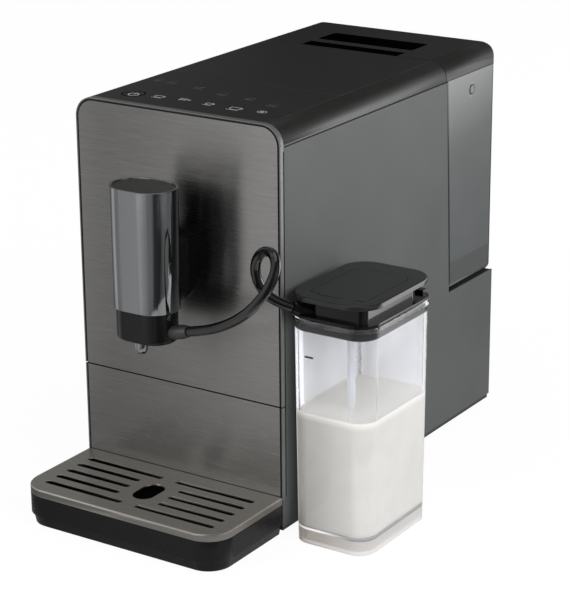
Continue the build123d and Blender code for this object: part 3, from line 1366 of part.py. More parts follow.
def cup_grid():
    """Brushed cup plate with a folded edge, rows of slots and an oval middle hole."""
    plate = grid_outline(TRAY_TOP, GRID_TOP, 0)
    plate = chamfer(plate.edges().group_by(Axis.Z)[-1].filter_by(lambda e: e.center().Y < -GRID_BAND), GRID_EDGE_ROUND)
    plate -= grid_outline(TRAY_TOP - OVERRUN, GRID_TOP - GRID_SKIN, GRID_SKIN)
    for row in range(SLOT_ROWS):
        y = SLOT_FIRST_Y - row * SLOT_PITCH
        outer_row = row in (0, SLOT_ROWS - 1)
        inner = GRID_SLOT_INNER_END if outer_row else GRID_SLOT_INNER_MIDDLE
        length = GRID_SLOT_OUTER - inner
        for side in (-1, 1):
            slot = Pos(side * (inner + length / 2), y, GRID_TOP - OVERRUN)
            plate -= slot * extrude(SlotOverall(length, GRID_SLOT_WIDTH), 2 * OVERRUN)
    middle = SLOT_FIRST_Y - SLOT_PITCH * (SLOT_ROWS - 1) / 2
    hole = Pos(0, middle, GRID_TOP - OVERRUN) * Rot(0, 0, 90)
    return plate - hole * extrude(SlotOverall(GRID_HOLE_LENGTH, GRID_HOLE_WIDTH), 2 * OVERRUN)


def grounds_container():
    """Open container for spent grounds, standing in the tray behind the fascia."""
    half = GROUNDS_HALF_WIDTH
    front = RAIL_FRONT + RAIL_DEPTH + FIT
    rear = DRAWER_REAR - TRAY_WALL - GROUNDS_REAR_GAP
    low = DRAWER_FOOT + DRAWER_FLOOR
    box = slab(-half, half, front, rear, low, GROUNDS_TOP, GROUNDS_ROUND)
    wall = GROUNDS_WALL
    return box - slab(
        -half + wall, half - wall, front + wall, rear - wall, low + wall, GROUNDS_TOP + OVERRUN,
        GROUNDS_ROUND - wall,
    )


# Spout


def spout_arm():
    """Fixed arm on the front, with a T-shaped rail that the spout slides on."""
    outline = Pos(0, (ARM_LOW + ARM_HIGH) / 2) * RectangleRounded(ARM_WIDTH, ARM_HIGH - ARM_LOW, ARM_ROUND)
    arm = front_form(outline, ARM_FRONT, 0)
    arm += block(-NECK_WIDTH / 2, NECK_WIDTH / 2, HEAD_REAR - FIT, ARM_FRONT + FIT, HEAD_LOW, HEAD_HIGH)
    arm += block(-HEAD_WIDTH / 2, HEAD_WIDTH / 2, HEAD_REAR - HEAD_DEPTH, HEAD_REAR, HEAD_LOW, HEAD_HIGH)
    return arm - rod((0, HEAD_REAR - HEAD_DEPTH - OVERRUN, DUCT_Z), (0, OVERRUN, DUCT_Z), DUCT_RADIUS)


def spout_shell():
    """Polished oval shell, open at the back where it passes the arm."""
    shell = oval(0, SPOUT_Y, SPOUT_WIDTH, SPOUT_DEPTH, SPOUT_LOW, SPOUT_TOP)
    inner_width, inner_depth = SPOUT_WIDTH - 2 * SPOUT_WALL, SPOUT_DEPTH - 2 * SPOUT_WALL
    shell -= oval(0, SPOUT_Y, inner_width, inner_depth, SPOUT_LOW - OVERRUN, SPOUT_TOP + OVERRUN)
    slot = NECK_WIDTH / 2 + SLIDE_GAP
    return shell - block(-slot, slot, SPOUT_Y, OVERRUN, SPOUT_LOW - OVERRUN, CAP_LOW)


def spout_cap():
    """Dark cap let into the top of the shell."""
    return oval(0, SPOUT_Y, CARRIER_WIDTH, CARRIER_DEPTH, CAP_LOW, CAP_LOW + CAP_THICK)


def spout_carrier():
    """Slider inside the shell that grips the arm's rail and carries the coffee duct."""
    carrier = oval(0, SPOUT_Y, CARRIER_WIDTH, CARRIER_DEPTH, CARRIER_LOW, CAP_LOW - FIT)
    head = HEAD_WIDTH / 2 + SLIDE_GAP
    neck = NECK_WIDTH / 2 + SLIDE_GAP
    head_front = HEAD_REAR - HEAD_DEPTH - SLIDE_GAP
    low, high = CARRIER_LOW - OVERRUN, CAP_LOW + OVERRUN
    carrier -= block(-head, head, head_front, HEAD_REAR + SLIDE_GAP, low, high)
    carrier -= block(-neck, neck, HEAD_REAR, SHELL_REAR, low, high)
    return carrier - post(0, NOZZLE_Y, low, high, CARRIER_DUCT_RADIUS)


def spout_base():
    """Black foot of the spout, with a socket for the hose and a seat for the nozzle."""
    base = oval(0, SPOUT_Y, BASE_WIDTH, CARRIER_DEPTH, SPOUT_FOOT, SPOUT_LOW + SPIGOT)
    base = fillet(base.faces().sort_by(Axis.Z)[0].edges(), SPOUT_FOOT_ROUND)
    start, tip = boot_axis()
    base -= rod(tuple(start), tuple(tip), BOOT_RADIUS + BOOT_SOCKET_GAP)
    return base - post(0, NOZZLE_Y, SPOUT_FOOT - OVERRUN, SPOUT_LOW + OVERRUN, NOZZLE_SPIGOT_RADIUS + SHAFT_GAP)


def coffee_nozzle():
    """Polished outlet under the spout."""
    nozzle = post(0, NOZZLE_Y, NOZZLE_TIP + NOZZLE_TAPER, SPOUT_FOOT, NOZZLE_RADIUS)
    nozzle += cone(0, NOZZLE_Y, NOZZLE_TIP, NOZZLE_TIP + NOZZLE_TAPER, NOZZLE_TIP_RADIUS, NOZZLE_RADIUS)
    nozzle += post(0, NOZZLE_Y, SPOUT_FOOT, SPOUT_FOOT + NOZZLE_SPIGOT, NOZZLE_SPIGOT_RADIUS)
    return nozzle - post(
        0, NOZZLE_Y, NOZZLE_TIP - OVERRUN, SPOUT_FOOT + NOZZLE_SPIGOT + OVERRUN, NOZZLE_BORE_RADIUS
    )


def boot_axis():
    """Root and tip of the hose connector, in line with the hose's first run."""
    tip = Vector(*HOSE_POINTS[0])
    along = (Vector(*HOSE_POINTS[1]) - tip).normalized()
    root_x = SPOUT_WIDTH / 2 - SPOUT_WALL - BOOT_ROOT - CARRIER_GAP
    start = tip - along * ((tip.X - root_x) / along.X)
    return start, tip


def hose_connector():
    """Connector that joins the milk hose to the side of the spout's foot."""
    start, tip = boot_axis()
    along = (tip - start).normalized()
    neck = tip - along * BOOT_TIP
    boot = rod(tuple(start), tuple(neck), BOOT_RADIUS)
    return boot + rod(tuple(neck), tuple(tip), BOOT_RADIUS, BOOT_TIP_RADIUS)


# Milk container


def jar_body(grow, z0, z1, height):
    """The jar's tapered form, grown or drawn in, between two heights."""

    def section(z):
        out = grow + JAR_DRAFT * z / height
        return Pos(JAR_X, JAR_Y, z) * RectangleRounded(
            JAR_WIDTH + 2 * out, JAR_DEPTH + 2 * out, JAR_ROUND + out
        )

    return loft([section(z0), section(z1)])


def milk_jar():
    """Clear jar with a thick floor, a shallow recess under it and a lip at the rim."""
    jar = jar_body(0, 0, JAR_HEIGHT, JAR_HEIGHT)
    lip_low = JAR_HEIGHT - JAR_LIP_HEIGHT
    radius = JAR_ROUND + JAR_DRAFT + JAR_LIP
    jar += slab(RIM_LEFT, RIM_RIGHT, RIM_FRONT, RIM_REAR, lip_low, JAR_HEIGHT, radius)
    jar -= jar_body(-JAR_WALL, JAR_FLOOR, JAR_HEIGHT + OVERRUN, JAR_HEIGHT)
    return jar - jar_body(-JAR_WALL, -OVERRUN, JAR_FOOT_RECESS, JAR_HEIGHT)


def neck_box():
    """The lid neck's sides in plan."""
    return (
        RIM_LEFT + MILK_NECK_LEFT_INSET, RIM_RIGHT - MILK_NECK_RIGHT_INSET,
        RIM_FRONT + MILK_NECK_FRONT_INSET, RIM_REAR - MILK_NECK_REAR_INSET,
    )


def neck_plan():
    """The lid neck's outline: one chamfered corner, where the hose comes in."""
    x0, x1, y0, y1 = neck_box()
    cut = MILK_NECK_CHAMFER
    outline = polygon((x0 + cut, y0), (x1, y0), (x1, y1), (x0, y1), (x0, y0 + cut))
    square = [v for v in outline.vertices() if v.X > x1 - FIT or v.Y > y1 - FIT]
    return fillet(square, MILK_NECK_ROUND)


def fill_hole():
    """The filling hole in plan: inside the flap's ledge and the neck's walls."""
    left, right, _, _ = flap_box(-FLAP_LEDGE)
    rear = neck_box()[3] - MILK_NECK_WALL
    return left, right, RISER_Y + RISER_RADIUS + MILK_NECK_WALL, rear


def milk_lid_base():
    """Lid of the jar: a plug, a flange on the rim and a hollow neck with the hose socket."""
    inset = MILK_LID_FLANGE_INSET
    round_flange = JAR_ROUND + JAR_DRAFT + JAR_LIP - inset
    lid = slab(
        RIM_LEFT + inset, RIM_RIGHT - inset, RIM_FRONT + inset, RIM_REAR - inset,
        JAR_HEIGHT, FLANGE_TOP, round_flange,
    )
    plug_low = JAR_HEIGHT - PLUG_DEPTH
    lid += jar_body(-JAR_WALL - PLUG_GAP, plug_low, JAR_HEIGHT, JAR_HEIGHT)
    hollow = -JAR_WALL - PLUG_GAP - PLUG_WALL
    lid -= jar_body(hollow, plug_low - OVERRUN, JAR_HEIGHT - FIT, JAR_HEIGHT)
    lid -= seal_ring(0)
    lid += Pos(0, 0, FLANGE_TOP - FIT) * extrude(neck_plan(), MILK_NECK_TOP - FLANGE_TOP + FIT)
    start, tip = sleeve_axis()
    lid += rod(tuple(start), tuple(tip), SLEEVE_RADIUS)
    along = (tip - start).normalized()
    lid -= rod(tuple(start + along * SLEEVE_ROOT), tuple(tip + along * OVERRUN), SLEEVE_BORE)
    for i in range(RIB_COUNT):
        angle = 360.0 * i / RIB_COUNT
        plane = Plane(origin=tuple(start + along * SLEEVE_ROOT), z_dir=along)
        rib = Pos(SLEEVE_RADIUS, 0) * Rectangle(RIB_WIDTH, RIB_WIDTH)
        lid += plane * Rot(0, 0, angle) * extrude(rib, RIB_LENGTH)
    hole = RISER_RADIUS + FIT / 2
    lid -= post(RISER_X, RISER_Y, plug_low - OVERRUN, JAR_HEIGHT + MILK_LID_FLANGE / 2, hole)
    lid -= slab(*fill_hole(), plug_low, MILK_NECK_TOP + OVERRUN, FLAP_ROUND - FLAP_LEDGE)
    tab_x, tab_y = RIM_RIGHT - LID_TAB_INSET_X, RIM_REAR - LID_TAB_INSET_Y
    return lid + block(
        tab_x - LID_TAB_WIDTH, tab_x, tab_y - LID_TAB_DEPTH, tab_y, FLANGE_TOP, FLANGE_TOP + LID_TAB_HEIGHT
    )


def sleeve_axis():
    """Root and mouth of the hose socket on the lid, in line with the hose's last run."""
    mouth = Vector(*HOSE_POINTS[-1])
    along = (Vector(*HOSE_POINTS[-2]) - mouth).normalized()
    x0, _, y0, _ = neck_box()
    depth = (x0 + y0 + MILK_NECK_CHAMFER - mouth.X - mouth.Y) / -(along.X + along.Y)
    return mouth - along * (depth + SLEEVE_ROOT), mouth


def seal_ring(grow):
    """Ring round the lid's plug."""
    low = JAR_HEIGHT - PLUG_DEPTH + JAR_SEAL_HEIGHT
    top = low + JAR_SEAL_HEIGHT
    inner = jar_body(-JAR_WALL - PLUG_GAP - PLUG_WALL / 2, low - grow - OVERRUN, top + grow + OVERRUN, JAR_HEIGHT)
    return jar_body(-JAR_WALL - JAR_SEAL_GAP, low - grow, top + grow, JAR_HEIGHT) - inner


def jar_seal():
    return seal_ring(0)


def plate_box():
    inset = MILK_PLATE_INSET
    return RIM_LEFT + inset, RIM_RIGHT - inset, RIM_FRONT + inset, RIM_REAR - inset


def flap_box(grow):
    """The flap's plan on the lid plate, grown by a gap."""
    x0, x1, y0, y1 = plate_box()
    return (
        x0 + FLAP_LEFT_INSET - grow, x1 - FLAP_RIGHT_INSET + grow,
        y0 + FLAP_FRONT_INSET - grow, y1 - FLAP_REAR_INSET + grow,
    )


def flap_axis():
    """Height and depth of the flap's hinge line, and its two ends."""
    x0, x1, y0, _ = flap_box(0)
    z = MILK_PLATE_TOP - FLAP_BARREL_RADIUS
    return x0 + FLAP_ROUND, x1 - FLAP_ROUND, y0 + FLAP_BARREL_RADIUS, z


def milk_lid_plate():
    """Wide plate on the neck, with a recess and a filling hole under the flap."""
    x0, x1, y0, y1 = plate_box()
    plate = slab(x0, x1, y0, y1, MILK_NECK_TOP, MILK_PLATE_TOP, MILK_PLATE_ROUND)
    plate = fillet(plate.faces().sort_by(Axis.Z)[-1].edges(), MILK_PLATE_EDGE)
    low, top = MILK_NECK_TOP - OVERRUN, MILK_PLATE_TOP + OVERRUN
    ax0, ax1, ay, az = flap_axis()
    recess = slab(*flap_box(FLAP_GAP), MILK_PLATE_TOP - FLAP_THICK - FIT, top, FLAP_ROUND)
    for boss in ((x0, ax0), (ax1, x1)):
        recess -= block(boss[0], boss[1], y0, ay + FLAP_BARREL_RADIUS, low, top + OVERRUN)
    plate -= recess
    plate -= slab(*fill_hole(), low, top, FLAP_ROUND - FLAP_LEDGE)
    groove = FLAP_BARREL_RADIUS + FLAP_GAP
    plate -= block(ax0, ax1, ay - groove, ay + groove, low, top)
    ends = FLAP_PIN_LENGTH + FLAP_GAP
    return plate - rod((ax0 - ends, ay, az), (ax1 + ends, ay, az), FLAP_PIN_RADIUS + SHAFT_GAP)


def milk_flap():
    """Hinged flap over the filling hole."""
    x0, x1, y0, y1 = flap_box(0)
    flap = slab(x0, x1, y0, y1, MILK_PLATE_TOP - FLAP_THICK, MILK_PLATE_TOP, FLAP_ROUND)
    ax0, ax1, ay, az = flap_axis()
    side = FLAP_ROUND + FLAP_GAP
    clear = ay + FLAP_BARREL_RADIUS + 2 * FLAP_GAP
    for edge in ((x0 - OVERRUN, x0 + side), (x1 - side, x1 + OVERRUN)):
        flap -= block(edge[0], edge[1], y0 - OVERRUN, clear, MILK_PLATE_TOP - OVERRUN, MILK_PLATE_TOP + OVERRUN)
    flap -= block(x0, x1, y0 - OVERRUN, ay, MILK_PLATE_TOP - OVERRUN, MILK_PLATE_TOP + OVERRUN)
    flap += rod((x0 + side, ay, az), (x1 - side, ay, az), FLAP_BARREL_RADIUS)
    ends = FLAP_PIN_LENGTH
    return flap + rod((x0 + side - ends, ay, az), (x1 - side + ends, ay, az), FLAP_PIN_RADIUS)


def riser_tube():
    """Clear tube from the lid down into the milk."""
    top = JAR_HEIGHT + MILK_LID_FLANGE / 2
    tube = post(RISER_X, RISER_Y, RISER_FOOT, top, RISER_RADIUS)
    return tube - post(RISER_X, RISER_Y, RISER_FOOT - OVERRUN, top + OVERRUN, RISER_BORE)


def hose_bends():
    """Bend radius at each inner point of the hose's route, as large as its runs allow."""
    bends = []
    for before, here, after in zip(HOSE_POINTS, HOSE_POINTS[1:], HOSE_POINTS[2:]):
        run_in = Vector(*here) - Vector(*before)
        run_out = Vector(*after) - Vector(*here)
        turn = math.radians(run_in.get_angle(run_out))
        shorter = min(run_in.length, run_out.length)
        bends.append(HOSE_RADIUS_SHARE * shorter / math.tan(turn / 2))
    return bends


def milk_hose():
    """Hose from the spout's connector, round one loop, to the lid's socket."""
    bends = hose_bends()
    print("hose bend radii:", [round(b, 1) for b in bends])
    hose = piped(HOSE_POINTS, HOSE_RADIUS, bends)
    path = FilletPolyline(*HOSE_POINTS, radius=bends)
    expected = math.pi * HOSE_RADIUS**2 * path.length
    print("hose length", round(path.length, 1), "volume", round(hose.volume), "expected", round(expected))
    return hose


PIECES = [
    base_pan, rubber_feet, side_panel_left, side_panel_right, service_door, back_panel, cover_screws,
    inlet_socket, chassis, upper_fascia, upper_front_plate, lower_fascia, lower_front_plate,
    top_cover, control_panel, power_button, ui_board, main_board, bean_lid, bean_lid_seal,
    bean_hopper, grind_knob, grinder_housing, ring_burr, cone_burr, burr_gear, grinder_pinion,
    grinder_motor, brew_frame, brew_cylinder, brew_piston, brew_spindle, brew_pinion, brew_motor,
    pump, pump_mounts, thermoblock, flow_meter, water_pipes, tank_bay, water_tank, tank_valve,
    tank_lid, drip_tray, cup_grid, grounds_container, spout_arm, spout_shell, spout_cap,
    spout_carrier, spout_base, coffee_nozzle, hose_connector, milk_jar, milk_lid_base, jar_seal,
    milk_lid_plate, milk_flap, riser_tube, milk_hose,
]

os.makedirs("parts", exist_ok=True)
for make in PIECES:
    piece = Pos(-ORIGIN_X, -ORIGIN_Y, 0) * make()
    export_step(piece, f"parts/{make.__name__}.step")
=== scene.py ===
import bmesh
import bpy
import math
from mathutils import Matrix, Vector


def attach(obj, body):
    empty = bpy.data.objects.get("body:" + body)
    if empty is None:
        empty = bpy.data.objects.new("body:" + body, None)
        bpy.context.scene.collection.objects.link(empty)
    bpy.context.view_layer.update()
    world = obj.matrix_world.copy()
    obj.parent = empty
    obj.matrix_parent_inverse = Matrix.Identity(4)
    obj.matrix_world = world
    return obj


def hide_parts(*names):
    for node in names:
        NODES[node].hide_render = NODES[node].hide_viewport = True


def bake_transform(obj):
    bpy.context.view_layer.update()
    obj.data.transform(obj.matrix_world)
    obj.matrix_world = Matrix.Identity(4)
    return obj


# A bean to cup coffee machine with a milk container, dressed on its CAD frame. Places are written
# in the maker's millimetres: x from the machine's middle, y from its front face, z from the counter.

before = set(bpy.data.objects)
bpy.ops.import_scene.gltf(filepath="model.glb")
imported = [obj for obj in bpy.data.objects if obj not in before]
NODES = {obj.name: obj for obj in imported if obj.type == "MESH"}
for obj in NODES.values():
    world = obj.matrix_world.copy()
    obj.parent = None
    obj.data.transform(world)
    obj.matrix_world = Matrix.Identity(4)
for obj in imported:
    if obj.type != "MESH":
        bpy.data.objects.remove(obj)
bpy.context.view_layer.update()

MIDDLE_X, FRONT_Y = 37.4, 117.5


def at(x, y, z):
    """A place in the maker's millimetres as a point of the row frame, in metres."""
    return Vector(((x - MIDDLE_X) / 1000, (y - FRONT_Y) / 1000, z / 1000))


# Sizes of the real object that shapes and finishes share, in millimetres

BODY_HALF_WIDTH, BODY_HEIGHT, BODY_ROUND = 90.0, 310.0, 15.5
BUTTON_X, BUTTON_Y, BUTTON_RADIUS = -55.8, 25.9, 8.4
BUTTON_PROUD, BUTTON_DISH = 0.1, 0.7
JAR_LEFT, JAR_RIGHT, JAR_FRONT, JAR_REAR = 98.0, 161.5, -1.5, 90.5
JAR_HEIGHT, JAR_DRAFT, JAR_CORNER, JAR_WALL, JAR_FLOOR = 174.0, 2.0, 14.0, 2.4, 13.0
MILK_LEVEL = 101.0
# The tank's slanted front: where it would meet the counter, and how far it leans per millimetre.
TANK_SEAM_AT_FLOOR, TANK_LEAN = 252.3, -0.0496
TANK_FOOT, TANK_SEAT, TANK_TOP, TANK_REAR = 122.0, 143.0, 290.0, 314.5
TANK_RING_Y, TANK_RING_Z = 279.0, 280.0


# Camera

CAMERA_PLACE = (880.59, -1196.35, 673.68)
CAMERA_TURN, CAMERA_RISE, CAMERA_ROLL = 33.358, 18.871, -0.4615
CAMERA_LENS = 128.295
CAMERA_NEAR, CAMERA_FAR = 0.05, 50


def place_camera():
    """Sets the camera at the photograph's angle, turned from the front, raised and rolled a little."""
    turn, rise, roll = (math.radians(a) for a in (CAMERA_TURN, CAMERA_RISE, CAMERA_ROLL))
    back = Vector((math.sin(turn) * math.cos(rise), -math.cos(turn) * math.cos(rise), math.sin(rise)))
    level = Vector((math.cos(turn), math.sin(turn), 0))
    upward = back.cross(level)
    right = math.cos(roll) * level + math.sin(roll) * upward
    top = -math.sin(roll) * level + math.cos(roll) * upward
    camera = bpy.data.objects.new("camera", bpy.data.cameras.new("camera"))
    bpy.context.scene.collection.objects.link(camera)
    aimed = Matrix((right, top, back)).transposed().to_4x4()
    camera.matrix_world = Matrix.Translation(at(*CAMERA_PLACE)) @ aimed
    camera.data.lens = CAMERA_LENS
    camera.data.clip_start, camera.data.clip_end = CAMERA_NEAR, CAMERA_FAR
    bpy.context.scene.camera = camera


place_camera()


# Making pieces

def new_piece(name, shape, material, body):
    """Turns a bmesh into a smooth piece that rides on a body of the frame."""
    mesh = bpy.data.meshes.new(name)
    bmesh.ops.recalc_face_normals(shape, faces=shape.faces)
    shape.to_mesh(mesh)
    shape.free()
    mesh.shade_smooth()
    piece = bpy.data.objects.new(name, mesh)
    bpy.context.scene.collection.objects.link(piece)
    mesh.materials.append(material)
    if body:
        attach(piece, body)
    return piece


def join_loops(shape, loops, closed_ends=True):
    """Skins rings of points that have the same count, and closes the two ends."""
    rings = [[shape.verts.new(p) for p in loop] for loop in loops]
    for low, high in zip(rings, rings[1:]):
        for i in range(len(low)):
            j = (i + 1) % len(low)
            shape.faces.new((low[i], low[j], high[j], high[i]))
    if closed_ends:
        shape.faces.new(rings[0][::-1])
        shape.faces.new(rings[-1])


# Milk hose: the same route as in the CAD source

HOSE_DIAMETER = 7.4
HOSE_SIDES = 28
HOSE_STEPS = 18
HOSE_ROUTE = [
    (37.5, -40.8, 162.2), (53.8, -41.4, 166.2), (69.5, -43.6, 173.0), (84.8, -46.4, 181.8),
    (98.6, -48.0, 193.2), (109.0, -45.8, 207.0), (112.0, -38.4, 221.0), (103.5, -29.6, 229.0),
    (89.6, -23.2, 226.4), (80.5, -19.8, 214.2), (81.3, -17.2, 198.8), (90.5, -11.9, 186.0),
    (101.5, -2.5, 181.0),
]


def hose_line():
    """Points along the hose's smooth line, read from its spline."""
    data = bpy.data.curves.new("hose_route", "CURVE")
    data.dimensions = "3D"
    data.resolution_u = HOSE_STEPS
    route = data.splines.new("NURBS")
    route.points.add(len(HOSE_ROUTE) - 1)
    for point, place in zip(route.points, HOSE_ROUTE):
        point.co = (*at(*place), 1)
    route.order_u = 3
    route.use_endpoint_u = True
    carrier = bpy.data.objects.new("hose_route", data)
    line = bpy.data.meshes.new_from_object(carrier)
    points = [v.co.copy() for v in line.vertices]
    bpy.data.objects.remove(carrier)
    bpy.data.curves.remove(data)
    bpy.data.meshes.remove(line)
    return points


def milk_hose(material):
    """Silicone hose swept along its line. It bends between the spout and the jar's lid."""
    line = hose_line()
    radius = HOSE_DIAMETER / 2000
    shape = bmesh.new()
    loops = []
    across = (line[1] - line[0]).normalized().orthogonal().normalized()
    for i, point in enumerate(line):
        ahead = (line[min(i + 1, len(line) - 1)] - line[max(i - 1, 0)]).normalized()
        across = (across - ahead * across.dot(ahead)).normalized()
        other = ahead.cross(across)
        loops.append([
            point + radius * (math.cos(a) * across + math.sin(a) * other)
            for a in (2 * math.pi * k / HOSE_SIDES for k in range(HOSE_SIDES))
        ])
    join_loops(shape, loops)
    hose = new_piece("milk_hose_tube", shape, material, None)
    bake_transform(hose)
    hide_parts("milk_hose")


# Making finishes

# Most of a noise lies between these two values.
NOISE_LOW, NOISE_HIGH = 0.3, 0.7
NOISE_SPAN = {"From Min": NOISE_LOW, "From Max": NOISE_HIGH}
# The two colour inputs of a Mix node.
MIX_FIRST, MIX_SECOND = 6, 7
EDGE_SOFT = 0.1


def linear(colour):
    """An sRGB hex colour as linear red, green, blue and alpha."""
    parts = [int(colour[i:i + 2], 16) / 255 for i in (1, 3, 5)]
    return (*[p / 12.92 if p <= 0.04045 else ((p + 0.055) / 1.055) ** 2.4 for p in parts], 1.0)


def add(tree, kind, inputs=None, **settings):
    """Adds one node with its settings. Each input gets a value, or a link from a socket or from
    the open output of another node."""
    node = tree.nodes.new(kind)
    for name, value in settings.items():
        setattr(node, name, value)
    for name, value in (inputs or {}).items():
        if isinstance(value, bpy.types.Node):
            value = next(output for output in value.outputs if output.enabled)
        if isinstance(value, bpy.types.NodeSocket):
            tree.links.new(value, node.inputs[name])
        else:
            node.inputs[name].default_value = value
    return node


def start_finish(name):
    """A new material with an empty node tree and the place on the piece in metres."""
    material = bpy.data.materials.new(name)
    material.use_nodes = True
    tree = material.node_tree
    tree.nodes.clear()
    place = add(tree, "ShaderNodeTexCoord").outputs["Object"]
    return material, tree, place


def grain(tree, place, size_mm, detail):
    """Noise whose grains are size_mm wide, or have three sizes along x, y and z."""
    sizes = size_mm if isinstance(size_mm, tuple) else (size_mm,) * 3
    spread = add(tree, "ShaderNodeMapping", {
        "Vector": place, "Scale": tuple(1000 / size for size in sizes),
    })
    return add(tree, "ShaderNodeTexNoise", {
        "Vector": spread, "Scale": 1.0, "Detail": detail, "Roughness": 0.55,
    })


def mottled(tree, noise, low, high):
    """Two close colours, spread over the surface by a noise."""
    share = add(tree, "ShaderNodeMapRange", {"Value": noise, **NOISE_SPAN})
    return add(tree, "ShaderNodeMix", {
        "Factor": share, MIX_FIRST: linear(low), MIX_SECOND: linear(high),
    }, data_type="RGBA")


def in_millimetres(tree, place):
    """The place on the piece as x, y and z in the maker's millimetres."""
    spread = add(tree, "ShaderNodeVectorMath", {
        0: place, 1: (1000, 1000, 1000), 2: (MIDDLE_X, FRONT_Y, 0),
    }, operation="MULTIPLY_ADD")
    return add(tree, "ShaderNodeSeparateXYZ", {"Vector": spread}).outputs


def inside(tree, *spans, most=1.0):
    """A mask that is at its most where every value lies in its span, and 0 outside. A span is a
    value with its low and high end, and then how softly it ends if that isn't EDGE_SOFT."""
    mask = most
    for value, low, high, *softness in spans:
        soft = softness[0] if softness else EDGE_SOFT
        rise = add(tree, "ShaderNodeMapRange", {
            "Value": value, "From Min": low - soft, "From Max": low + soft,
        })
        fall = add(tree, "ShaderNodeMapRange", {
            "Value": value, "From Min": high - soft, "From Max": high + soft,
            "To Min": 1.0, "To Max": 0.0,
        })
        span = add(tree, "ShaderNodeMath", {0: rise, 1: fall}, operation="MULTIPLY")
        mask = add(tree, "ShaderNodeMath", {0: mask, 1: span}, operation="MULTIPLY")
    return mask


def distance(tree, across, upward, centre):
    """How far a place is from a centre, in the plane of its two values."""
    place = add(tree, "ShaderNodeCombineXYZ", {"X": across, "Y": upward})
    return add(tree, "ShaderNodeVectorMath", {0: place, 1: (*centre, 0)}, operation="DISTANCE")


def in_shade(tree, place, skin, shade, dark):
    """Paints shade: turns a skin dull and dark where the mask that shade gives is 1."""
    unlit = add(tree, "ShaderNodeBsdfDiffuse", {"Color": dark})
    mask = shade(tree, *in_millimetres(tree, place))
    return add(tree, "ShaderNodeMixShader", {0: mask, 1: skin, 2: unlit})


def moulded_plastic(name, low, high, gloss, texture_mm=0.6, relief=0.05, shine=0.5, shade=None):
    """Injection-moulded plastic: fine sink marks in the gloss and a faint mould texture.
    The eye gets an even colour whose reflection is a little broken. shade may darken some places."""
    material, tree, place = start_finish(name)
    cloud = grain(tree, place, 18, 2)
    fine = grain(tree, place, texture_mm, 2)
    skin = add(tree, "ShaderNodeBsdfPrincipled", {
        "Base Color": mottled(tree, cloud, low, high),
        "Roughness": add(tree, "ShaderNodeMapRange", {
            "Value": fine, **NOISE_SPAN, "To Min": gloss * 0.9, "To Max": gloss * 1.12,
        }),
        "Specular IOR Level": shine,
        "Normal": add(tree, "ShaderNodeBump", {"Height": fine, "Strength": relief, "Distance": 0.0001}),
    })
    if shade:
        skin = in_shade(tree, place, skin, shade, mottled(tree, cloud, "#030303", "#050505"))
    add(tree, "ShaderNodeOutputMaterial", {"Surface": skin})
    return material


def brushed_stainless(name, low, high, gloss, streaks_mm, tangent_round, shade=None):
    """Stainless sheet brushed along the machine's width. The eye gets fine lines that run
    sideways and a reflection that is drawn out across them. Real lines are about 0.05 mm wide,
    too fine for the picture, so they are drawn at the widths given."""
    material, tree, place = start_finish(name)
    long, deep, high_mm = streaks_mm
    broad = grain(tree, place, streaks_mm, 3)
    fine = grain(tree, place, (long / 2, deep / 2.5, high_mm / 2.5), 2)
    both = add(tree, "ShaderNodeMath", {0: broad, 1: fine}, operation="ADD")
    lines = add(tree, "ShaderNodeMath", {0: both, 1: 0.5}, operation="MULTIPLY")
    sheet = add(tree, "ShaderNodeBsdfPrincipled", {
        "Base Color": mottled(tree, lines, low, high), "Metallic": 1.0,
        "Roughness": add(tree, "ShaderNodeMapRange", {
            "Value": lines, **NOISE_SPAN, "To Min": gloss * 0.85, "To Max": gloss * 1.15,
        }),
        "Anisotropic": 0.85, "Anisotropic Rotation": 0.25,
        "Tangent": add(tree, "ShaderNodeTangent", direction_type="RADIAL", axis=tangent_round),
        "Normal": add(tree, "ShaderNodeBump", {"Height": lines, "Strength": 0.12, "Distance": 0.00005}),
    })
    if shade:
        sheet = in_shade(tree, place, sheet, shade, mottled(tree, lines, "#0a0a0a", "#0e0e0e"))
    add(tree, "ShaderNodeOutputMaterial", {"Surface": sheet})
    return material


def coated_metal(name, low, high, gloss, texture_mm, metallic=0.0, relief=0.08, shine=0.5):
    """Sheet or casting with a coat or a machined skin: a fine even grain with a soft sheen."""
    material, tree, place = start_finish(name)
    peel = grain(tree, place, texture_mm, 2)
    cloud = grain(tree, place, 60, 2)
    skin = add(tree, "ShaderNodeBsdfPrincipled", {
        "Base Color": mottled(tree, cloud, low, high), "Metallic": metallic,
        "Specular IOR Level": shine,
        "Roughness": add(tree, "ShaderNodeMapRange", {
            "Value": peel, **NOISE_SPAN, "To Min": gloss * 0.92, "To Max": gloss * 1.08,
        }),
        "Normal": add(tree, "ShaderNodeBump", {"Height": peel, "Strength": relief, "Distance": 0.0001}),
    })
    add(tree, "ShaderNodeOutputMaterial", {"Surface": skin})
    return material


def silicone(name, low, high, gloss, coat=0.0):
    """Moulded or extruded silicone: deep black with a soft, slightly waxy highlight."""
    material, tree, place = start_finish(name)
    dust = grain(tree, place, 1.2, 3)
    skin = add(tree, "ShaderNodeBsdfPrincipled", {
        "Base Color": mottled(tree, dust, low, high), "IOR": 1.45,
        "Roughness": add(tree, "ShaderNodeMapRange", {
            "Value": dust, **NOISE_SPAN, "To Min": gloss * 0.85, "To Max": gloss * 1.2,
        }),
        "Coat Weight": coat, "Coat Roughness": 0.06,
        "Normal": add(tree, "ShaderNodeBump", {"Height": dust, "Strength": 0.04, "Distance": 0.0001}),
    })
    add(tree, "ShaderNodeOutputMaterial", {"Surface": skin})
    return material


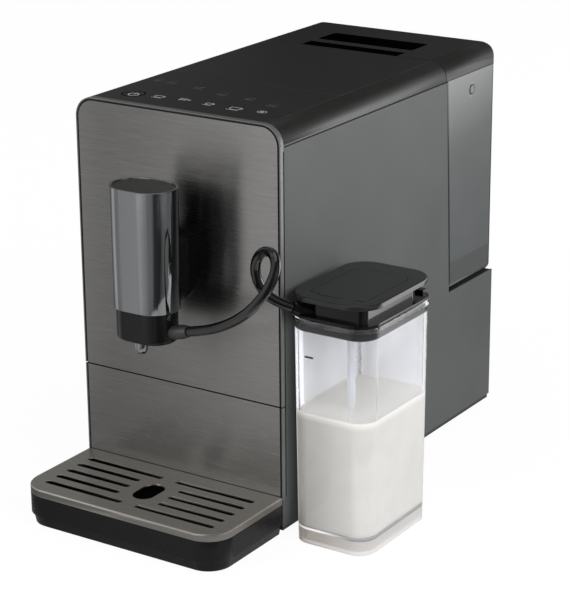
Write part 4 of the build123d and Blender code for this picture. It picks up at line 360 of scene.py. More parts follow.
def dark_chrome():
    """Dark chrome plate on a smooth moulding. The eye sees the studio in it as upright bands."""
    material, tree, place = start_finish("polished_dark_chrome")
    ripple = grain(tree, place, 14, 1)
    haze = grain(tree, place, 1.5, 3)
    plate = add(tree, "ShaderNodeBsdfPrincipled", {
        "Base Color": mottled(tree, haze, "#9a9d9f", "#9fa2a4"), "Metallic": 1.0,
        "Roughness": add(tree, "ShaderNodeMapRange", {
            "Value": haze, **NOISE_SPAN, "To Min": 0.07, "To Max": 0.1,
        }),
        "Normal": add(tree, "ShaderNodeBump", {"Height": ripple, "Strength": 0.015, "Distance": 0.0003}),
    })
    add(tree, "ShaderNodeOutputMaterial", {"Surface": plate})
    return material


# Where the jar's painted places begin and end: the painted pale haze and glow on the walls that
# stand against the machine and at the back, the painted glow at the front corner, the painted
# highlight round the floor, the lid's seal.
PALE_GLOW_LEFT, PALE_GLOW_REAR, PALE_GLOW_BEYOND = JAR_LEFT + 3.5, JAR_REAR - 4.0, 9.5
CORNER_GLOW_REAR = 14.0
FLOOR_HIGHLIGHT_LOW, FLOOR_HIGHLIGHT_HIGH = JAR_FLOOR - 1.8, JAR_FLOOR + 0.2
SEAL_LOW, SEAL_HIGH = 165.0, 169.5


def clear_jar():
    """Clear copolyester of the jar. The eye looks through it, sees its thick edges as grey lines
    and the studio on its skin. For lamps it is mostly open, as the real one lets light in. A pale
    haze with a painted glow is painted on the left wall and the wall behind, standing for light
    seen through them. The thick foot takes on the milk's colour and is painted paler and glowing
    towards the right, with a painted highlight round the floor, and the lid's black seal shows
    through just below the rim."""
    material, tree, place = start_finish("clear_jar_moulding")
    x, y, z = in_millimetres(tree, place)
    wave = grain(tree, place, 25, 1)
    wall = add(tree, "ShaderNodeBsdfPrincipled", {
        "Base Color": mottled(tree, wave, "#f5f6f9", "#f9fafb"), "Roughness": 0.02, "IOR": 1.49,
        "Transmission Weight": 1.0,
        "Normal": add(tree, "ShaderNodeBump", {"Height": wave, "Strength": 0.02, "Distance": 0.0005}),
    })
    path = add(tree, "ShaderNodeLightPath")
    lamplight = add(tree, "ShaderNodeMath", {
        0: path.outputs["Is Shadow Ray"], 1: path.outputs["Is Diffuse Ray"],
    }, operation="MAXIMUM")
    let_through = add(tree, "ShaderNodeMath", {0: lamplight, 1: 0.9}, operation="MULTIPLY")
    open_skin = add(tree, "ShaderNodeBsdfTransparent", {"Color": linear("#f7f8fa")})
    jar = add(tree, "ShaderNodeMixShader", {0: let_through, 1: wall, 2: open_skin})

    # Painted light: a pale haze with a glow on the left wall and the wall behind.
    behind = add(tree, "ShaderNodeMath", {
        0: inside(tree, (x, JAR_LEFT - 8.0, PALE_GLOW_LEFT, 0.6)),
        1: inside(tree, (y, PALE_GLOW_REAR, JAR_REAR + PALE_GLOW_BEYOND, 0.6)),
    }, operation="MAXIMUM")
    painted_pale_glow = add(tree, "ShaderNodeMath", {
        0: behind, 1: inside(tree, (z, JAR_FLOOR, SEAL_LOW, 1.0)),
    }, operation="MULTIPLY")
    # Painted light on the foot, and a painted highlight round the jar's floor.
    foot = inside(tree, (z, -5.0, JAR_FLOOR, 1.5))
    floor_highlight = inside(tree, (z, FLOOR_HIGHLIGHT_LOW, FLOOR_HIGHLIGHT_HIGH, 0.3), most=0.8)
    pale_glow_share = add(tree, "ShaderNodeMath", {0: painted_pale_glow, 1: 0.95}, operation="MULTIPLY")
    foot_share = add(tree, "ShaderNodeMath", {0: foot, 1: 0.55}, operation="MULTIPLY")
    pale = add(tree, "ShaderNodeMath", {0: pale_glow_share, 1: foot_share}, operation="MAXIMUM")
    pale = add(tree, "ShaderNodeMath", {0: pale, 1: floor_highlight}, operation="MAXIMUM")

    # The foot is painted paler and glows more at the right. A painted highlight round the jar's
    # floor is white at the left and grey at the right.
    to_right = add(tree, "ShaderNodeMapRange", {"Value": x, "From Min": 105.0, "From Max": 158.0})
    greyer = add(tree, "ShaderNodeMapRange", {"Value": x, "From Min": 122.0, "From Max": 150.0})
    foot_colour = add(tree, "ShaderNodeMix", {
        "Factor": to_right, MIX_FIRST: mottled(tree, wave, "#cabdb1", "#d2c6bb"),
        MIX_SECOND: linear("#e3dfdc"),
    }, data_type="RGBA")
    highlight_colour = add(tree, "ShaderNodeMix", {
        "Factor": greyer, MIX_FIRST: linear("#ffffff"), MIX_SECOND: linear("#5f6278"),
    }, data_type="RGBA")
    foot_colour = add(tree, "ShaderNodeMix", {
        "Factor": floor_highlight, MIX_FIRST: foot_colour, MIX_SECOND: highlight_colour,
    }, data_type="RGBA")
    foot_glow = add(tree, "ShaderNodeMath", {0: to_right, 1: 0.12, 2: 0.01}, operation="MULTIPLY_ADD")
    highlight_glow = add(tree, "ShaderNodeMath", {
        0: floor_highlight, 1: add(tree, "ShaderNodeMath", {0: 0.6, 1: greyer}, operation="SUBTRACT"),
    }, operation="MULTIPLY")
    foot_glow = add(tree, "ShaderNodeMath", {0: foot_glow, 1: highlight_glow}, operation="ADD")
    foot_glow = add(tree, "ShaderNodeMath", {0: foot, 1: foot_glow}, operation="MULTIPLY")

    # Painted glow: the haze glows more at the right, and the front left corner glows as a pale
    # edge.
    glow_towards_right = add(tree, "ShaderNodeMapRange", {
        "Value": x, "From Min": 100.0, "From Max": 160.0, "To Min": 0.03, "To Max": 0.38,
    })
    corner = inside(tree, (y, JAR_FRONT - 4.5, CORNER_GLOW_REAR, 2.0), most=0.5)
    pale_glow_strength = add(tree, "ShaderNodeMath", {0: glow_towards_right, 1: corner}, operation="ADD")
    pale_glow_strength = add(tree, "ShaderNodeMath", {0: painted_pale_glow, 1: pale_glow_strength}, operation="MULTIPLY")
    # The pale skin that carries the painted haze, the foot's colour and their painted glow.
    milky = add(tree, "ShaderNodeBsdfPrincipled", {
        "Base Color": add(tree, "ShaderNodeMix", {
            "Factor": foot, MIX_FIRST: mottled(tree, wave, "#e4e3e4", "#ececee"),
            MIX_SECOND: foot_colour,
        }, data_type="RGBA"),
        "Roughness": 0.15, "Emission Color": linear("#f6f6fa"),
        "Emission Strength": add(tree, "ShaderNodeMath", {
            0: pale_glow_strength, 1: foot_glow,
        }, operation="MAXIMUM"),
    })
    jar = add(tree, "ShaderNodeMixShader", {0: pale, 1: jar, 2: milky})
    seal = add(tree, "ShaderNodeBsdfPrincipled", {
        "Base Color": mottled(tree, wave, "#2c2c2e", "#343437"), "Roughness": 0.2,
    })
    band = inside(tree, (z, SEAL_LOW, SEAL_HIGH, 0.5), most=0.85)
    jar = add(tree, "ShaderNodeMixShader", {0: band, 1: jar, 2: seal})
    add(tree, "ShaderNodeOutputMaterial", {"Surface": jar})
    return material


def smoked_tank():
    """Smoked copolyester of the water tank. The eye sees a grey, barely clear wall, with painted
    shade as dark lines along the front edge, the foot and the rear edge."""
    material, tree, place = start_finish("smoked_tank_moulding")
    _, y, z = in_millimetres(tree, place)
    cloud = grain(tree, place, 40, 2)
    # A place's distance behind the slanted seam is y - lean * z - seam.
    leaned = add(tree, "ShaderNodeMath", {0: z, 1: -TANK_LEAN, 2: y}, operation="MULTIPLY_ADD")
    from_seam = add(tree, "ShaderNodeMath", {0: leaned, 1: TANK_SEAM_AT_FLOOR}, operation="SUBTRACT")
    # Painted shade: dark lines along the front seam, the rear edge and the foot.
    ends = add(tree, "ShaderNodeMath", {
        0: inside(tree, (from_seam, -3.0, 2.0, 0.3)),
        1: inside(tree, (y, TANK_REAR - 2.0, TANK_REAR, 0.4)),
    }, operation="MAXIMUM")
    edges = add(tree, "ShaderNodeMath", {
        0: ends, 1: inside(tree, (z, 100.0, TANK_FOOT, 0.4)),
    }, operation="MAXIMUM")
    # Painted light: the wall is painted a little darker at the water seat's height and paler towards the
    # top.
    height = add(tree, "ShaderNodeMapRange", {"Value": z, "From Min": TANK_SEAT, "From Max": TANK_TOP})
    colour = add(tree, "ShaderNodeMix", {
        "Factor": height, MIX_FIRST: mottled(tree, cloud, "#585b5c", "#5c5f60"),
        MIX_SECOND: mottled(tree, cloud, "#696b6b", "#6d6f6f"),
    }, data_type="RGBA")
    # Then come a painted shade low down where the seat stands behind the wall, the dark edges of
    # painted shade, and round the moulded ring near the top a painted highlight as a light rim round
    # a dark line of painted shade.
    from_ring = distance(tree, y, z, (TANK_RING_Y, TANK_RING_Z))
    for mask, tone in (
        (inside(tree, (z, 100.0, TANK_SEAT, 0.8), most=0.6), "#484a4a"),
        (edges, "#202121"),
        (inside(tree, (from_ring, 4.7, 5.6, 0.2)), "#9ea1a1"),
        (inside(tree, (from_ring, 3.0, 4.6, 0.2)), "#0c0d0d"),
    ):
        colour = add(tree, "ShaderNodeMix", {
            "Factor": mask, MIX_FIRST: colour, MIX_SECOND: linear(tone),
        }, data_type="RGBA")
    wall = add(tree, "ShaderNodeBsdfPrincipled", {
        "Base Color": colour, "Roughness": 0.2, "IOR": 1.5,
        "Transmission Weight": 0.08, "Coat Weight": 0.3, "Coat Roughness": 0.08,
    })
    add(tree, "ShaderNodeOutputMaterial", {"Surface": wall})
    return material


def fresh_milk():
    """Whole milk: creamy white with light that spreads a few millimetres inside it. A painted glow
    at the top keeps it pale under the dark lid, and its left side is painted darker, as painted
    shade from the dark machine beside the jar."""
    material, tree, place = start_finish("fresh_milk")
    x, _, z = in_millimetres(tree, place)
    swirl = grain(tree, place, 22, 2)
    # Painted shade: the milk is darker towards its left, where the machine stands beside it.
    beside = add(tree, "ShaderNodeMapRange", {
        "Value": x, "From Min": 96.0, "From Max": 152.0, "To Min": 1.0, "To Max": 0.0,
    })
    milk = add(tree, "ShaderNodeBsdfPrincipled", {
        "Base Color": add(tree, "ShaderNodeMix", {
            "Factor": beside, MIX_FIRST: mottled(tree, swirl, "#e3e0da", "#e8e6e1"),
            MIX_SECOND: linear("#b1ada7"),
        }, data_type="RGBA"),
        "Roughness": 0.22, "IOR": 1.35,
        "Subsurface Weight": 0.3, "Subsurface Radius": (0.006, 0.005, 0.004),
        "Subsurface Scale": 1.0, "Emission Color": linear("#fffdf6"),
        # Painted glow at the milk's top keeps it pale.
        "Emission Strength": inside(tree, (z, MILK_LEVEL - 2.0, MILK_LEVEL + 9.0, 2.5), most=0.24),
    })
    add(tree, "ShaderNodeOutputMaterial", {"Surface": milk})
    return material


def printed_mark(name, low, high, glow):
    """Printed or lit signs on the panel: thin ink over a lamp, brighter where it is thicker."""
    material, tree, place = start_finish(name)
    colour = mottled(tree, grain(tree, place, 0.8, 2), low, high)
    ink = add(tree, "ShaderNodeBsdfPrincipled", {
        "Base Color": colour, "Roughness": 0.5, "Emission Color": colour, "Emission Strength": glow,
    })
    add(tree, "ShaderNodeOutputMaterial", {"Surface": ink})
    return material


# Painted shade: each gives a mask that is 1 where the moulding or the sheet lies in the dark, and the
# skin is painted dull and dark there

PLATE_LOW, PLATE_SHADE_TOP, PLATE_TOP = 20.0, 25.0, 29.4
WELL_HALF_WIDTH, WELL_FRONT, WELL_REAR = 44.8, 230.0, 300.0


def cup_plate_band(tree, x, y, z):
    """The lowest edge of the cup plate's band stands in the tray's shadow, and the band above it
    stands there in part."""
    return add(tree, "ShaderNodeMath", {
        0: inside(tree, (z, PLATE_LOW, PLATE_SHADE_TOP)),
        1: inside(tree, (z, PLATE_SHADE_TOP, PLATE_TOP, 0.3), most=0.4),
    }, operation="MAXIMUM")


def bezel_groove(tree, x, y, z):
    """Painted shade in the groove between the front plate and the frame's lip, and where the frame
    meets the side panel. The groove follows the rounded corner: it lies at one distance from the
    corner's centre and from the two straight lines that leave it."""
    aside = add(tree, "ShaderNodeMath", {0: x}, operation="ABSOLUTE")
    past = []
    for value, straight in ((aside, BODY_HALF_WIDTH - BODY_ROUND), (z, BODY_HEIGHT - BODY_ROUND)):
        beyond = add(tree, "ShaderNodeMath", {0: value, 1: straight}, operation="SUBTRACT")
        past.append(add(tree, "ShaderNodeMath", {0: beyond, 1: 0.0}, operation="MAXIMUM"))
    away = distance(tree, *past, (0, 0))
    return add(tree, "ShaderNodeMath", {
        0: inside(tree, (away, -1.0, BODY_ROUND - 0.9), (y, 0.7, 10.0), most=0.85),
        1: inside(tree, (y, 3.5, 10.0), (z, 0.0, 291.0, 1.0)),
    }, operation="MAXIMUM")


def finger_wells(tree, x, y, z):
    """Painted shade: the two finger wells of the tank lid are dark below the lid's top."""
    return inside(tree, (x, -WELL_HALF_WIDTH, WELL_HALF_WIDTH), (y, WELL_FRONT, WELL_REAR),
                  (z, 280.0, BODY_HEIGHT - 0.15, 0.05))


def button_gap(tree, x, y, z):
    """Painted shade: the black gap round the power button."""
    from_button = distance(tree, x, y, (BUTTON_X, BUTTON_Y))
    return inside(tree, (from_button, BUTTON_RADIUS - 0.3, BUTTON_RADIUS + 0.8))


# Metals and paints

# Powder-coated steel side panels: a flat mid grey with fine orange peel.
SIDE_PAINT = coated_metal("powder_coated_side_panel", "#555756", "#595b5a", 0.5, 0.9, shine=0.12)
# Painted steel pan under the machine: dull black.
BASE_PAINT = coated_metal("painted_base_pan", "#1a1a1a", "#1e1e1e", 0.5, 0.8)
# Zinc-coated sheet of the inner frame: pale grey with a low sheen.
CHASSIS_ZINC = coated_metal("zinc_coated_chassis", "#8d9092", "#9da0a2", 0.4, 3.0, 1.0)
# Brushed stainless front: dark grey, with the spout's soft mirror image.
FRONT_STEEL = brushed_stainless(
    "brushed_stainless_front", "#898886", "#959492", 0.25, (26.0, 26.0, 0.5), "Z")
# Brushed stainless cup plate: a little warmer and paler than the front.
PLATE_STEEL = brushed_stainless(
    "brushed_stainless_cup_plate", "#b1ada7", "#bdb9b3", 0.3, (26.0, 0.5, 0.5), "Y",
    shade=cup_plate_band)
# Machined steel of burrs and screws: bright with fine tool marks.
MACHINED_STEEL = coated_metal("machined_steel", "#8f9193", "#a5a7a9", 0.28, 0.5, 1.0)
# Cast aluminium of the heater: grainy and pale.
CAST_ALUMINIUM = coated_metal("cast_aluminium", "#a3a5a7", "#b4b6b8", 0.45, 1.2, 1.0, 0.25)
# Machined brass of the pinions: yellow with a soft gleam.
MACHINED_BRASS = coated_metal("machined_brass", "#b08d4a", "#c29f5a", 0.3, 0.5, 1.0)
# Zinc-coated motor cans: mid grey with a low sheen.
MOTOR_CAN = coated_metal("zinc_coated_motor_can", "#6f7274", "#7c7f81", 0.36, 2.0, 1.0)
DARK_CHROME = dark_chrome()

# Mouldings

# Painted moulding round the front: a light line in the picture, with painted shade in the dark groove
# inside it.
BEZEL_PAINT = moulded_plastic("painted_front_frame", "#5c5d5c", "#626362", 0.35, shade=bezel_groove)
# Satin top cover: almost black on top, with a long soft gleam on the rounded edge.
COVER_ABS = moulded_plastic("satin_cover_moulding", "#212120", "#252524", 0.34, 0.5, 0.04)
# Tank lid: the same moulding, with painted shade in the black finger wells.
LID_ABS = moulded_plastic("satin_tank_lid_moulding", "#212120", "#252524", 0.34, 0.5, 0.04,
                          shade=finger_wells)
# Control panel: hard-coated, smoother than the cover, with painted shade as a black ring round the
# button.
PANEL_ABS = moulded_plastic("hard_coated_control_panel", "#262625", "#292928", 0.36, 0.5, 0.03,
                            shine=0.35, shade=button_gap)
# Textured rear mouldings: dull black that scatters its highlights.
REAR_ABS = moulded_plastic("textured_rear_moulding", "#1d1d1d", "#222222", 0.55, 0.8, 0.2)
# Drip tray: satin black.
TRAY_ABS = moulded_plastic("satin_drip_tray_moulding", "#141414", "#171717", 0.27, 0.7, 0.04,
                           shine=0.2)
# Gloss black mouldings of the spout's foot and of the jar's lid: deep black with sharp highlights.
GLOSS_ABS = moulded_plastic("gloss_black_moulding", "#0d0d0e", "#101011", 0.14, 0.6, 0.02,
                            shine=0.35)
# Jar lid's wide top: the same moulding with a satin skin.
JAR_LID_ABS = moulded_plastic("satin_jar_lid_moulding", "#202021", "#242425", 0.22, 0.6, 0.02)
# Connector of the hose: dull dark grey beside the gloss of the spout's foot.
CONNECTOR_ABS = moulded_plastic("dull_hose_connector", "#2a2b2c", "#303132", 0.4, 0.5, 0.06)
# Inner frame mouldings: dull dark grey.
INNER_ABS = moulded_plastic("dull_inner_moulding", "#3a3a3b", "#444445", 0.5, 0.9, 0.1)
# Natural nylon of the gears and the piston: creamy and waxy.
NYLON = moulded_plastic("natural_nylon", "#dedbd0", "#e6e3d9", 0.45, 0.9, 0.08)
# Circuit board laminate with green lacquer: an even green with a low gloss.
BOARD_LAMINATE = moulded_plastic("lacquered_circuit_board", "#0f3f25", "#14502f", 0.3, 0.4, 0.1)
# Natural polypropylene of the tubes: milky white with a soft gloss.
TUBE_CLEAR = moulded_plastic("translucent_riser_tube", "#d9dade", "#e3e4e8", 0.25)
# Moulded silicone of seals and feet: dull black.
SEAL_SILICONE = silicone("moulded_black_silicone", "#101010", "#161616", 0.5)
# Extruded silicone hose: black, with a clear line of light along it.
HOSE_SILICONE = silicone("extruded_black_hose", "#08080a", "#0b0b0d", 0.14, 0.8)
JAR_CLEAR = clear_jar()
TANK_SMOKE = smoked_tank()
MILK = fresh_milk()

# Signs that glow a little, signs that are off, and the black line on the jar.
LIT_SIGN = printed_mark("lit_panel_sign", "#b4b6b6", "#c4c6c6", 0.3)
DIM_SIGN = printed_mark("unlit_panel_sign", "#6e6e6c", "#767674", 0.0)
LEVEL_INK = printed_mark("printed_level_mark", "#121214", "#19191b", 0.0)

FINISHES = {
    "base_pan": BASE_PAINT, "rubber_feet": SEAL_SILICONE, "side_panel_left": SIDE_PAINT,
    "side_panel_right": SIDE_PAINT, "service_door": SIDE_PAINT, "back_panel": REAR_ABS,
    "cover_screws": MACHINED_STEEL, "inlet_socket": REAR_ABS, "chassis": CHASSIS_ZINC,
    "upper_fascia": BEZEL_PAINT, "upper_front_plate": FRONT_STEEL, "lower_fascia": BEZEL_PAINT,
    "lower_front_plate": FRONT_STEEL, "top_cover": COVER_ABS, "control_panel": PANEL_ABS,
    "power_button": PANEL_ABS, "ui_board": BOARD_LAMINATE, "main_board": BOARD_LAMINATE,
    "bean_lid": COVER_ABS, "bean_lid_seal": SEAL_SILICONE, "bean_hopper": INNER_ABS,
    "grind_knob": GLOSS_ABS, "grinder_housing": INNER_ABS, "ring_burr": MACHINED_STEEL,
    "cone_burr": MACHINED_STEEL, "burr_gear": NYLON, "grinder_pinion": MACHINED_BRASS,
    "grinder_motor": MOTOR_CAN, "brew_frame": INNER_ABS, "brew_cylinder": INNER_ABS,
    "brew_piston": NYLON, "brew_spindle": NYLON, "brew_pinion": MACHINED_BRASS,
    "brew_motor": MOTOR_CAN, "pump": MOTOR_CAN, "pump_mounts": SEAL_SILICONE,
    "thermoblock": CAST_ALUMINIUM, "flow_meter": NYLON, "water_pipes": TUBE_CLEAR,
    "tank_bay": REAR_ABS, "water_tank": TANK_SMOKE, "tank_valve": INNER_ABS, "tank_lid": LID_ABS,
    "drip_tray": TRAY_ABS, "cup_grid": PLATE_STEEL, "grounds_container": INNER_ABS,
    "spout_arm": GLOSS_ABS, "spout_shell": DARK_CHROME, "spout_cap": COVER_ABS,
    "spout_carrier": INNER_ABS, "spout_base": GLOSS_ABS, "coffee_nozzle": DARK_CHROME,
    "hose_connector": CONNECTOR_ABS, "milk_jar": JAR_CLEAR, "milk_lid_base": GLOSS_ABS,
    "jar_seal": SEAL_SILICONE, "milk_lid_plate": JAR_LID_ABS, "milk_flap": JAR_LID_ABS,
    "riser_tube": TUBE_CLEAR, "milk_hose": HOSE_SILICONE,
}

# Width in millimetres of the small round that each moulding or bent sheet has on its edges.
EDGE_ROUNDS = {
    "side_panel_left": 0.3, "side_panel_right": 0.3, "service_door": 0.4, "back_panel": 0.4,
    "inlet_socket": 0.3, "upper_fascia": 0.3, "upper_front_plate": 0.2, "lower_fascia": 0.3,
    "lower_front_plate": 0.2, "top_cover": 0.3, "control_panel": 0.3, "power_button": 0.2,
    "bean_lid": 0.3, "tank_lid": 0.2, "water_tank": 0.4, "tank_bay": 0.3, "drip_tray": 0.5,
    "cup_grid": 0.15, "spout_arm": 0.4, "spout_shell": 0.5, "spout_cap": 0.3, "spout_base": 0.3,
    "coffee_nozzle": 0.2, "hose_connector": 0.4, "milk_jar": 0.4, "milk_lid_base": 0.4,
    "milk_lid_plate": 0.3, "milk_flap": 0.3, "base_pan": 0.5, "grind_knob": 0.4,
    "grounds_container": 0.4, "bean_hopper": 0.3, "riser_tube": 0.2,
}
SAME_POINT = 0.000002
SHARP_EDGE = math.radians(38)

for node, finish in FINISHES.items():
    piece = NODES[node]
    piece.data.materials.clear()
    piece.data.materials.append(finish)
    if node in EDGE_ROUNDS:
        weld = piece.modifiers.new("joined_faces", "WELD")
        weld.merge_threshold = SAME_POINT
        soft_edge = piece.modifiers.new("soft_edge", "BEVEL")
        soft_edge.width = EDGE_ROUNDS[node] / 1000
        soft_edge.segments = 2
        soft_edge.limit_method = "ANGLE"
        soft_edge.angle_limit = SHARP_EDGE
        soft_edge.harden_normals = True

milk_hose(HOSE_SILICONE)


# Milk in the jar

JAR_CORNER_STEPS = 12
MILK_WALL_HEIGHTS = (JAR_FLOOR + 1, 30, 50, 70, 90, MILK_LEVEL, MILK_LEVEL + 1.6)
# How the milk's top falls from the wall: how far in, and how high above the level.
MILK_EDGE = ((0.3, 1.1), (0.8, 0.55), (1.6, 0.22), (2.8, 0.06), (4.5, 0.0), (10.0, 0.0))


def jar_ring(z, inset, height):
    """Points round the jar as wide as it is at z, drawn in by an inset and set at a height."""
    grow = JAR_DRAFT * z / JAR_HEIGHT - inset
    x0, x1, y0, y1 = JAR_LEFT - grow, JAR_RIGHT + grow, JAR_FRONT - grow, JAR_REAR + grow
    radius = max(JAR_CORNER + grow, 0.5)
    ring = []
    for cx, cy, first in ((x1 - radius, y1 - radius, 0), (x0 + radius, y1 - radius, 90),
                          (x0 + radius, y0 + radius, 180), (x1 - radius, y0 + radius, 270)):
        for k in range(JAR_CORNER_STEPS + 1):
            a = math.radians(first + 90 * k / JAR_CORNER_STEPS)
            ring.append(at(cx + radius * math.cos(a), cy + radius * math.sin(a), height))
    return ring


def jar_milk():
    """Milk that wets the jar: it stands up at the wall and is flat in the middle."""
    shape = bmesh.new()
    wet = JAR_WALL - 0.15
    bottom = JAR_FLOOR - 0.1
    loops = [jar_ring(JAR_FLOOR, wet + 3.0, bottom), jar_ring(JAR_FLOOR, wet, bottom)]
    loops += [jar_ring(z, wet, z) for z in MILK_WALL_HEIGHTS]
    loops += [jar_ring(MILK_LEVEL, wet + inset, MILK_LEVEL + above) for inset, above in MILK_EDGE]
    join_loops(shape, loops)
    new_piece("milk", shape, MILK, "machine")


jar_milk()


# Signs on the control panel and the jar. Places on the panel are x and y, then width and height.

INK = 0.03
SIGN_LINE, BEAN_LINE, POWER_LINE, LAMP_LINE = 0.6, 0.45, 0.85, 0.5
LIT_CUPS = ((-34.2, 28.1, 7.0, 5.0), (10.4, 28.2, 5.6, 4.6), (34.0, 26.7, 8.4, 6.0))
BEANS = ((-15.6, 31.2), (-12.2, 31.6), (-15.4, 28.4), (-12.0, 28.8), (-8.6, 30.2))
BEAN_SIZE = 1.3
LAMP_X, LAMP_Y = 56.2, 28.2
UNLIT_CUPS = ((-65.3, 71.5), (-24.3, 65.7), (27.6, 56.6))
UNLIT_CUP_WIDTH, UNLIT_CUP_HEIGHT = 6.5, 4.4
UNLIT_RINGS = ((-52.3, 71.6), (1.9, 59.3), (52.0, 50.0))
LEVEL_MARK_LEFT, LEVEL_MARK_RIGHT, LEVEL_MARK_HALF = 111.3, 118.5, 0.7
LEVEL_Z = 146.0


def ribbon(shape, points, width, z):
    """A flat line of ink through the points, in the panel's plane."""
    half = width / 2
    for (x0, y0), (x1, y1) in zip(points, points[1:]):
        length = math.hypot(x1 - x0, y1 - y0)
        dx, dy = (x1 - x0) / length * half, (y1 - y0) / length * half
        corners = [(x0 - dx * 0.6 - dy, y0 - dy * 0.6 + dx), (x0 - dx * 0.6 + dy, y0 - dy * 0.6 - dx),
                   (x1 + dx * 0.6 + dy, y1 + dy * 0.6 - dx), (x1 + dx * 0.6 - dy, y1 + dy * 0.6 + dx)]
        shape.faces.new([shape.verts.new(at(x, y, z)) for x, y in corners])


def bow(x, y, radius, first, last, squash=1.0):
    """Points on an arc, from one angle to another in degrees."""
    count = max(4, int(abs(last - first) / 15))
    angles = [math.radians(first + (last - first) * k / count) for k in range(count + 1)]
    return [(x + radius * math.cos(a), y + squash * radius * math.sin(a)) for a in angles]


def cup_sign(x, y, width, height):
    """A plain cup with a handle on a saucer line."""
    half = width / 2
    bowl = [(x - half, y + height / 2)] + bow(x, y, half, 180, 360, height / width)
    bowl += [(x + half, y + height / 2), (x - half, y + height / 2)]
    handle = bow(x + half, y + height * 0.12, height * 0.28, 90, -90)
    saucer = [(x - half * 1.2, y - height * 0.72), (x + half * 1.2, y - height * 0.72)]
    return [bowl, handle, saucer]


def bean_sign(x, y):
    """One bean: an oval with its crease."""
    crease = [(x - BEAN_SIZE * 0.7, y - BEAN_SIZE * 0.2), (x + BEAN_SIZE * 0.7, y + BEAN_SIZE * 0.2)]
    return [bow(x, y, BEAN_SIZE, 0, 360, 0.7), crease]


def panel_signs():
    """The lit signs: three cups, some beans, and a lamp with a ring round it."""
    shape = bmesh.new()
    z = BODY_HEIGHT + INK
    for cup in LIT_CUPS:
        for stroke in cup_sign(*cup):
            ribbon(shape, stroke, SIGN_LINE, z)
    for bean in BEANS:
        for stroke in bean_sign(*bean):
            ribbon(shape, stroke, BEAN_LINE, z)
    ribbon(shape, bow(LAMP_X, LAMP_Y, 0.8, 0, 360), 1.6, z)
    ribbon(shape, bow(LAMP_X, LAMP_Y, 3.6, 0, 360, 0.8), LAMP_LINE, z)
    new_piece("panel_signs", shape, LIT_SIGN, "machine")


def unlit_signs():
    """The signs behind them that are off: three cups and three open rings, each over a line."""
    shape = bmesh.new()
    z = BODY_HEIGHT + INK
    for x, y in UNLIT_CUPS:
        for stroke in cup_sign(x, y, UNLIT_CUP_WIDTH, UNLIT_CUP_HEIGHT):
            ribbon(shape, stroke, SIGN_LINE, z)
    for x, y in UNLIT_RINGS:
        ribbon(shape, bow(x, y, 3.4, 20, 340, 0.8), SIGN_LINE, z)
        ribbon(shape, [(x - 4.5, y - 4.2), (x + 4.5, y - 4.2)], SIGN_LINE, z)
    new_piece("panel_signs_unlit", shape, DIM_SIGN, "machine")


def power_sign():
    """The plain power sign in the button's dish."""
    shape = bmesh.new()
    z = BODY_HEIGHT + BUTTON_PROUD - BUTTON_DISH + INK
    ribbon(shape, bow(BUTTON_X, BUTTON_Y, 3.9, 115, 425), POWER_LINE, z)
    ribbon(shape, [(BUTTON_X, BUTTON_Y + 0.7), (BUTTON_X, BUTTON_Y + 4.7)], POWER_LINE, z)
    new_piece("power_sign", shape, LIT_SIGN, "button")


def level_mark():
    """The line on the jar's front that shows how far it may be filled."""
    shape = bmesh.new()
    y = JAR_FRONT - JAR_DRAFT * LEVEL_Z / JAR_HEIGHT - 0.05
    low, high = LEVEL_Z - LEVEL_MARK_HALF, LEVEL_Z + LEVEL_MARK_HALF
    shape.faces.new([shape.verts.new(at(x, y, z)) for x, z in (
        (LEVEL_MARK_LEFT, low), (LEVEL_MARK_RIGHT, low),
        (LEVEL_MARK_RIGHT, high), (LEVEL_MARK_LEFT, high))])
    new_piece("jar_level_mark", shape, LEVEL_INK, "machine")


panel_signs()
unlit_signs()
power_sign()
level_mark()


# Studio, in metres: a white floor, a ring of soft cards and a cloth that only gloss can see, and
# soft lamps

FLOOR_HALF_SIZE, FLOOR_Z = 6, -0.0002
RING_HALF_WIDTH, RING_HALF_DEPTH, RING_SIDES = 0.3, 0.34, 96
RING_LOW, RING_HIGH = -0.0001, 1.0

# The ring's brightness by its direction, in degrees from the machine's right (0) round the rear
# (90). The front is at -90 and the camera at -57.
CARD_STOPS = (
    (-180, 0.25), (-170, 0.2), (-160, 0.16), (-149, 0.34), (-143, 0.72), (-139, 0.7), (-134, 0.46),
    (-130, 0.33), (-122, 0.4), (-113, 0.52), (-107, 0.63), (-102, 0.6), (-97, 0.52), (-93, 0.44),
    (-84, 0.29), (-75, 0.25), (-69, 0.06), (-52, 0.04), (-44, 0.16), (-31, 0.22), (-9, 0.22),
    (8, 0.3), (15, 0.55), (22, 0.55), (30, 0.8), (40, 0.8), (48, 0.4), (62, 0.25), (100, 0.08),
    (124, 0.04), (150, 0.2), (180, 0.25),
)
# Name, place, size and watts of each lamp, and the point that it is aimed at.
LAMPS = (
    ("right_lamp", (2.2, -0.6, 1.0), (1.6, 1.6), 32, (0, 0, 0.15)),
    ("front_lamp", (-0.9, -2.4, 1.1), (1.6, 1.6), 27, (0, 0, 0.15)),
    ("low_rear_lamp", (1.1, 1.7, 0.35), (1.6, 0.7), 12, (0, 0, 0.25)),
)


def seen_directly(tree):
    """1 for what the camera sees, by itself, through clear plastic or in a reflection."""
    path = add(tree, "ShaderNodeLightPath")
    seen = add(tree, "ShaderNodeMath", {
        0: path.outputs["Is Camera Ray"], 1: path.outputs["Is Transmission Ray"],
    }, operation="MAXIMUM")
    return add(tree, "ShaderNodeMath", {0: seen, 1: path.outputs["Is Glossy Ray"]}, operation="MAXIMUM")


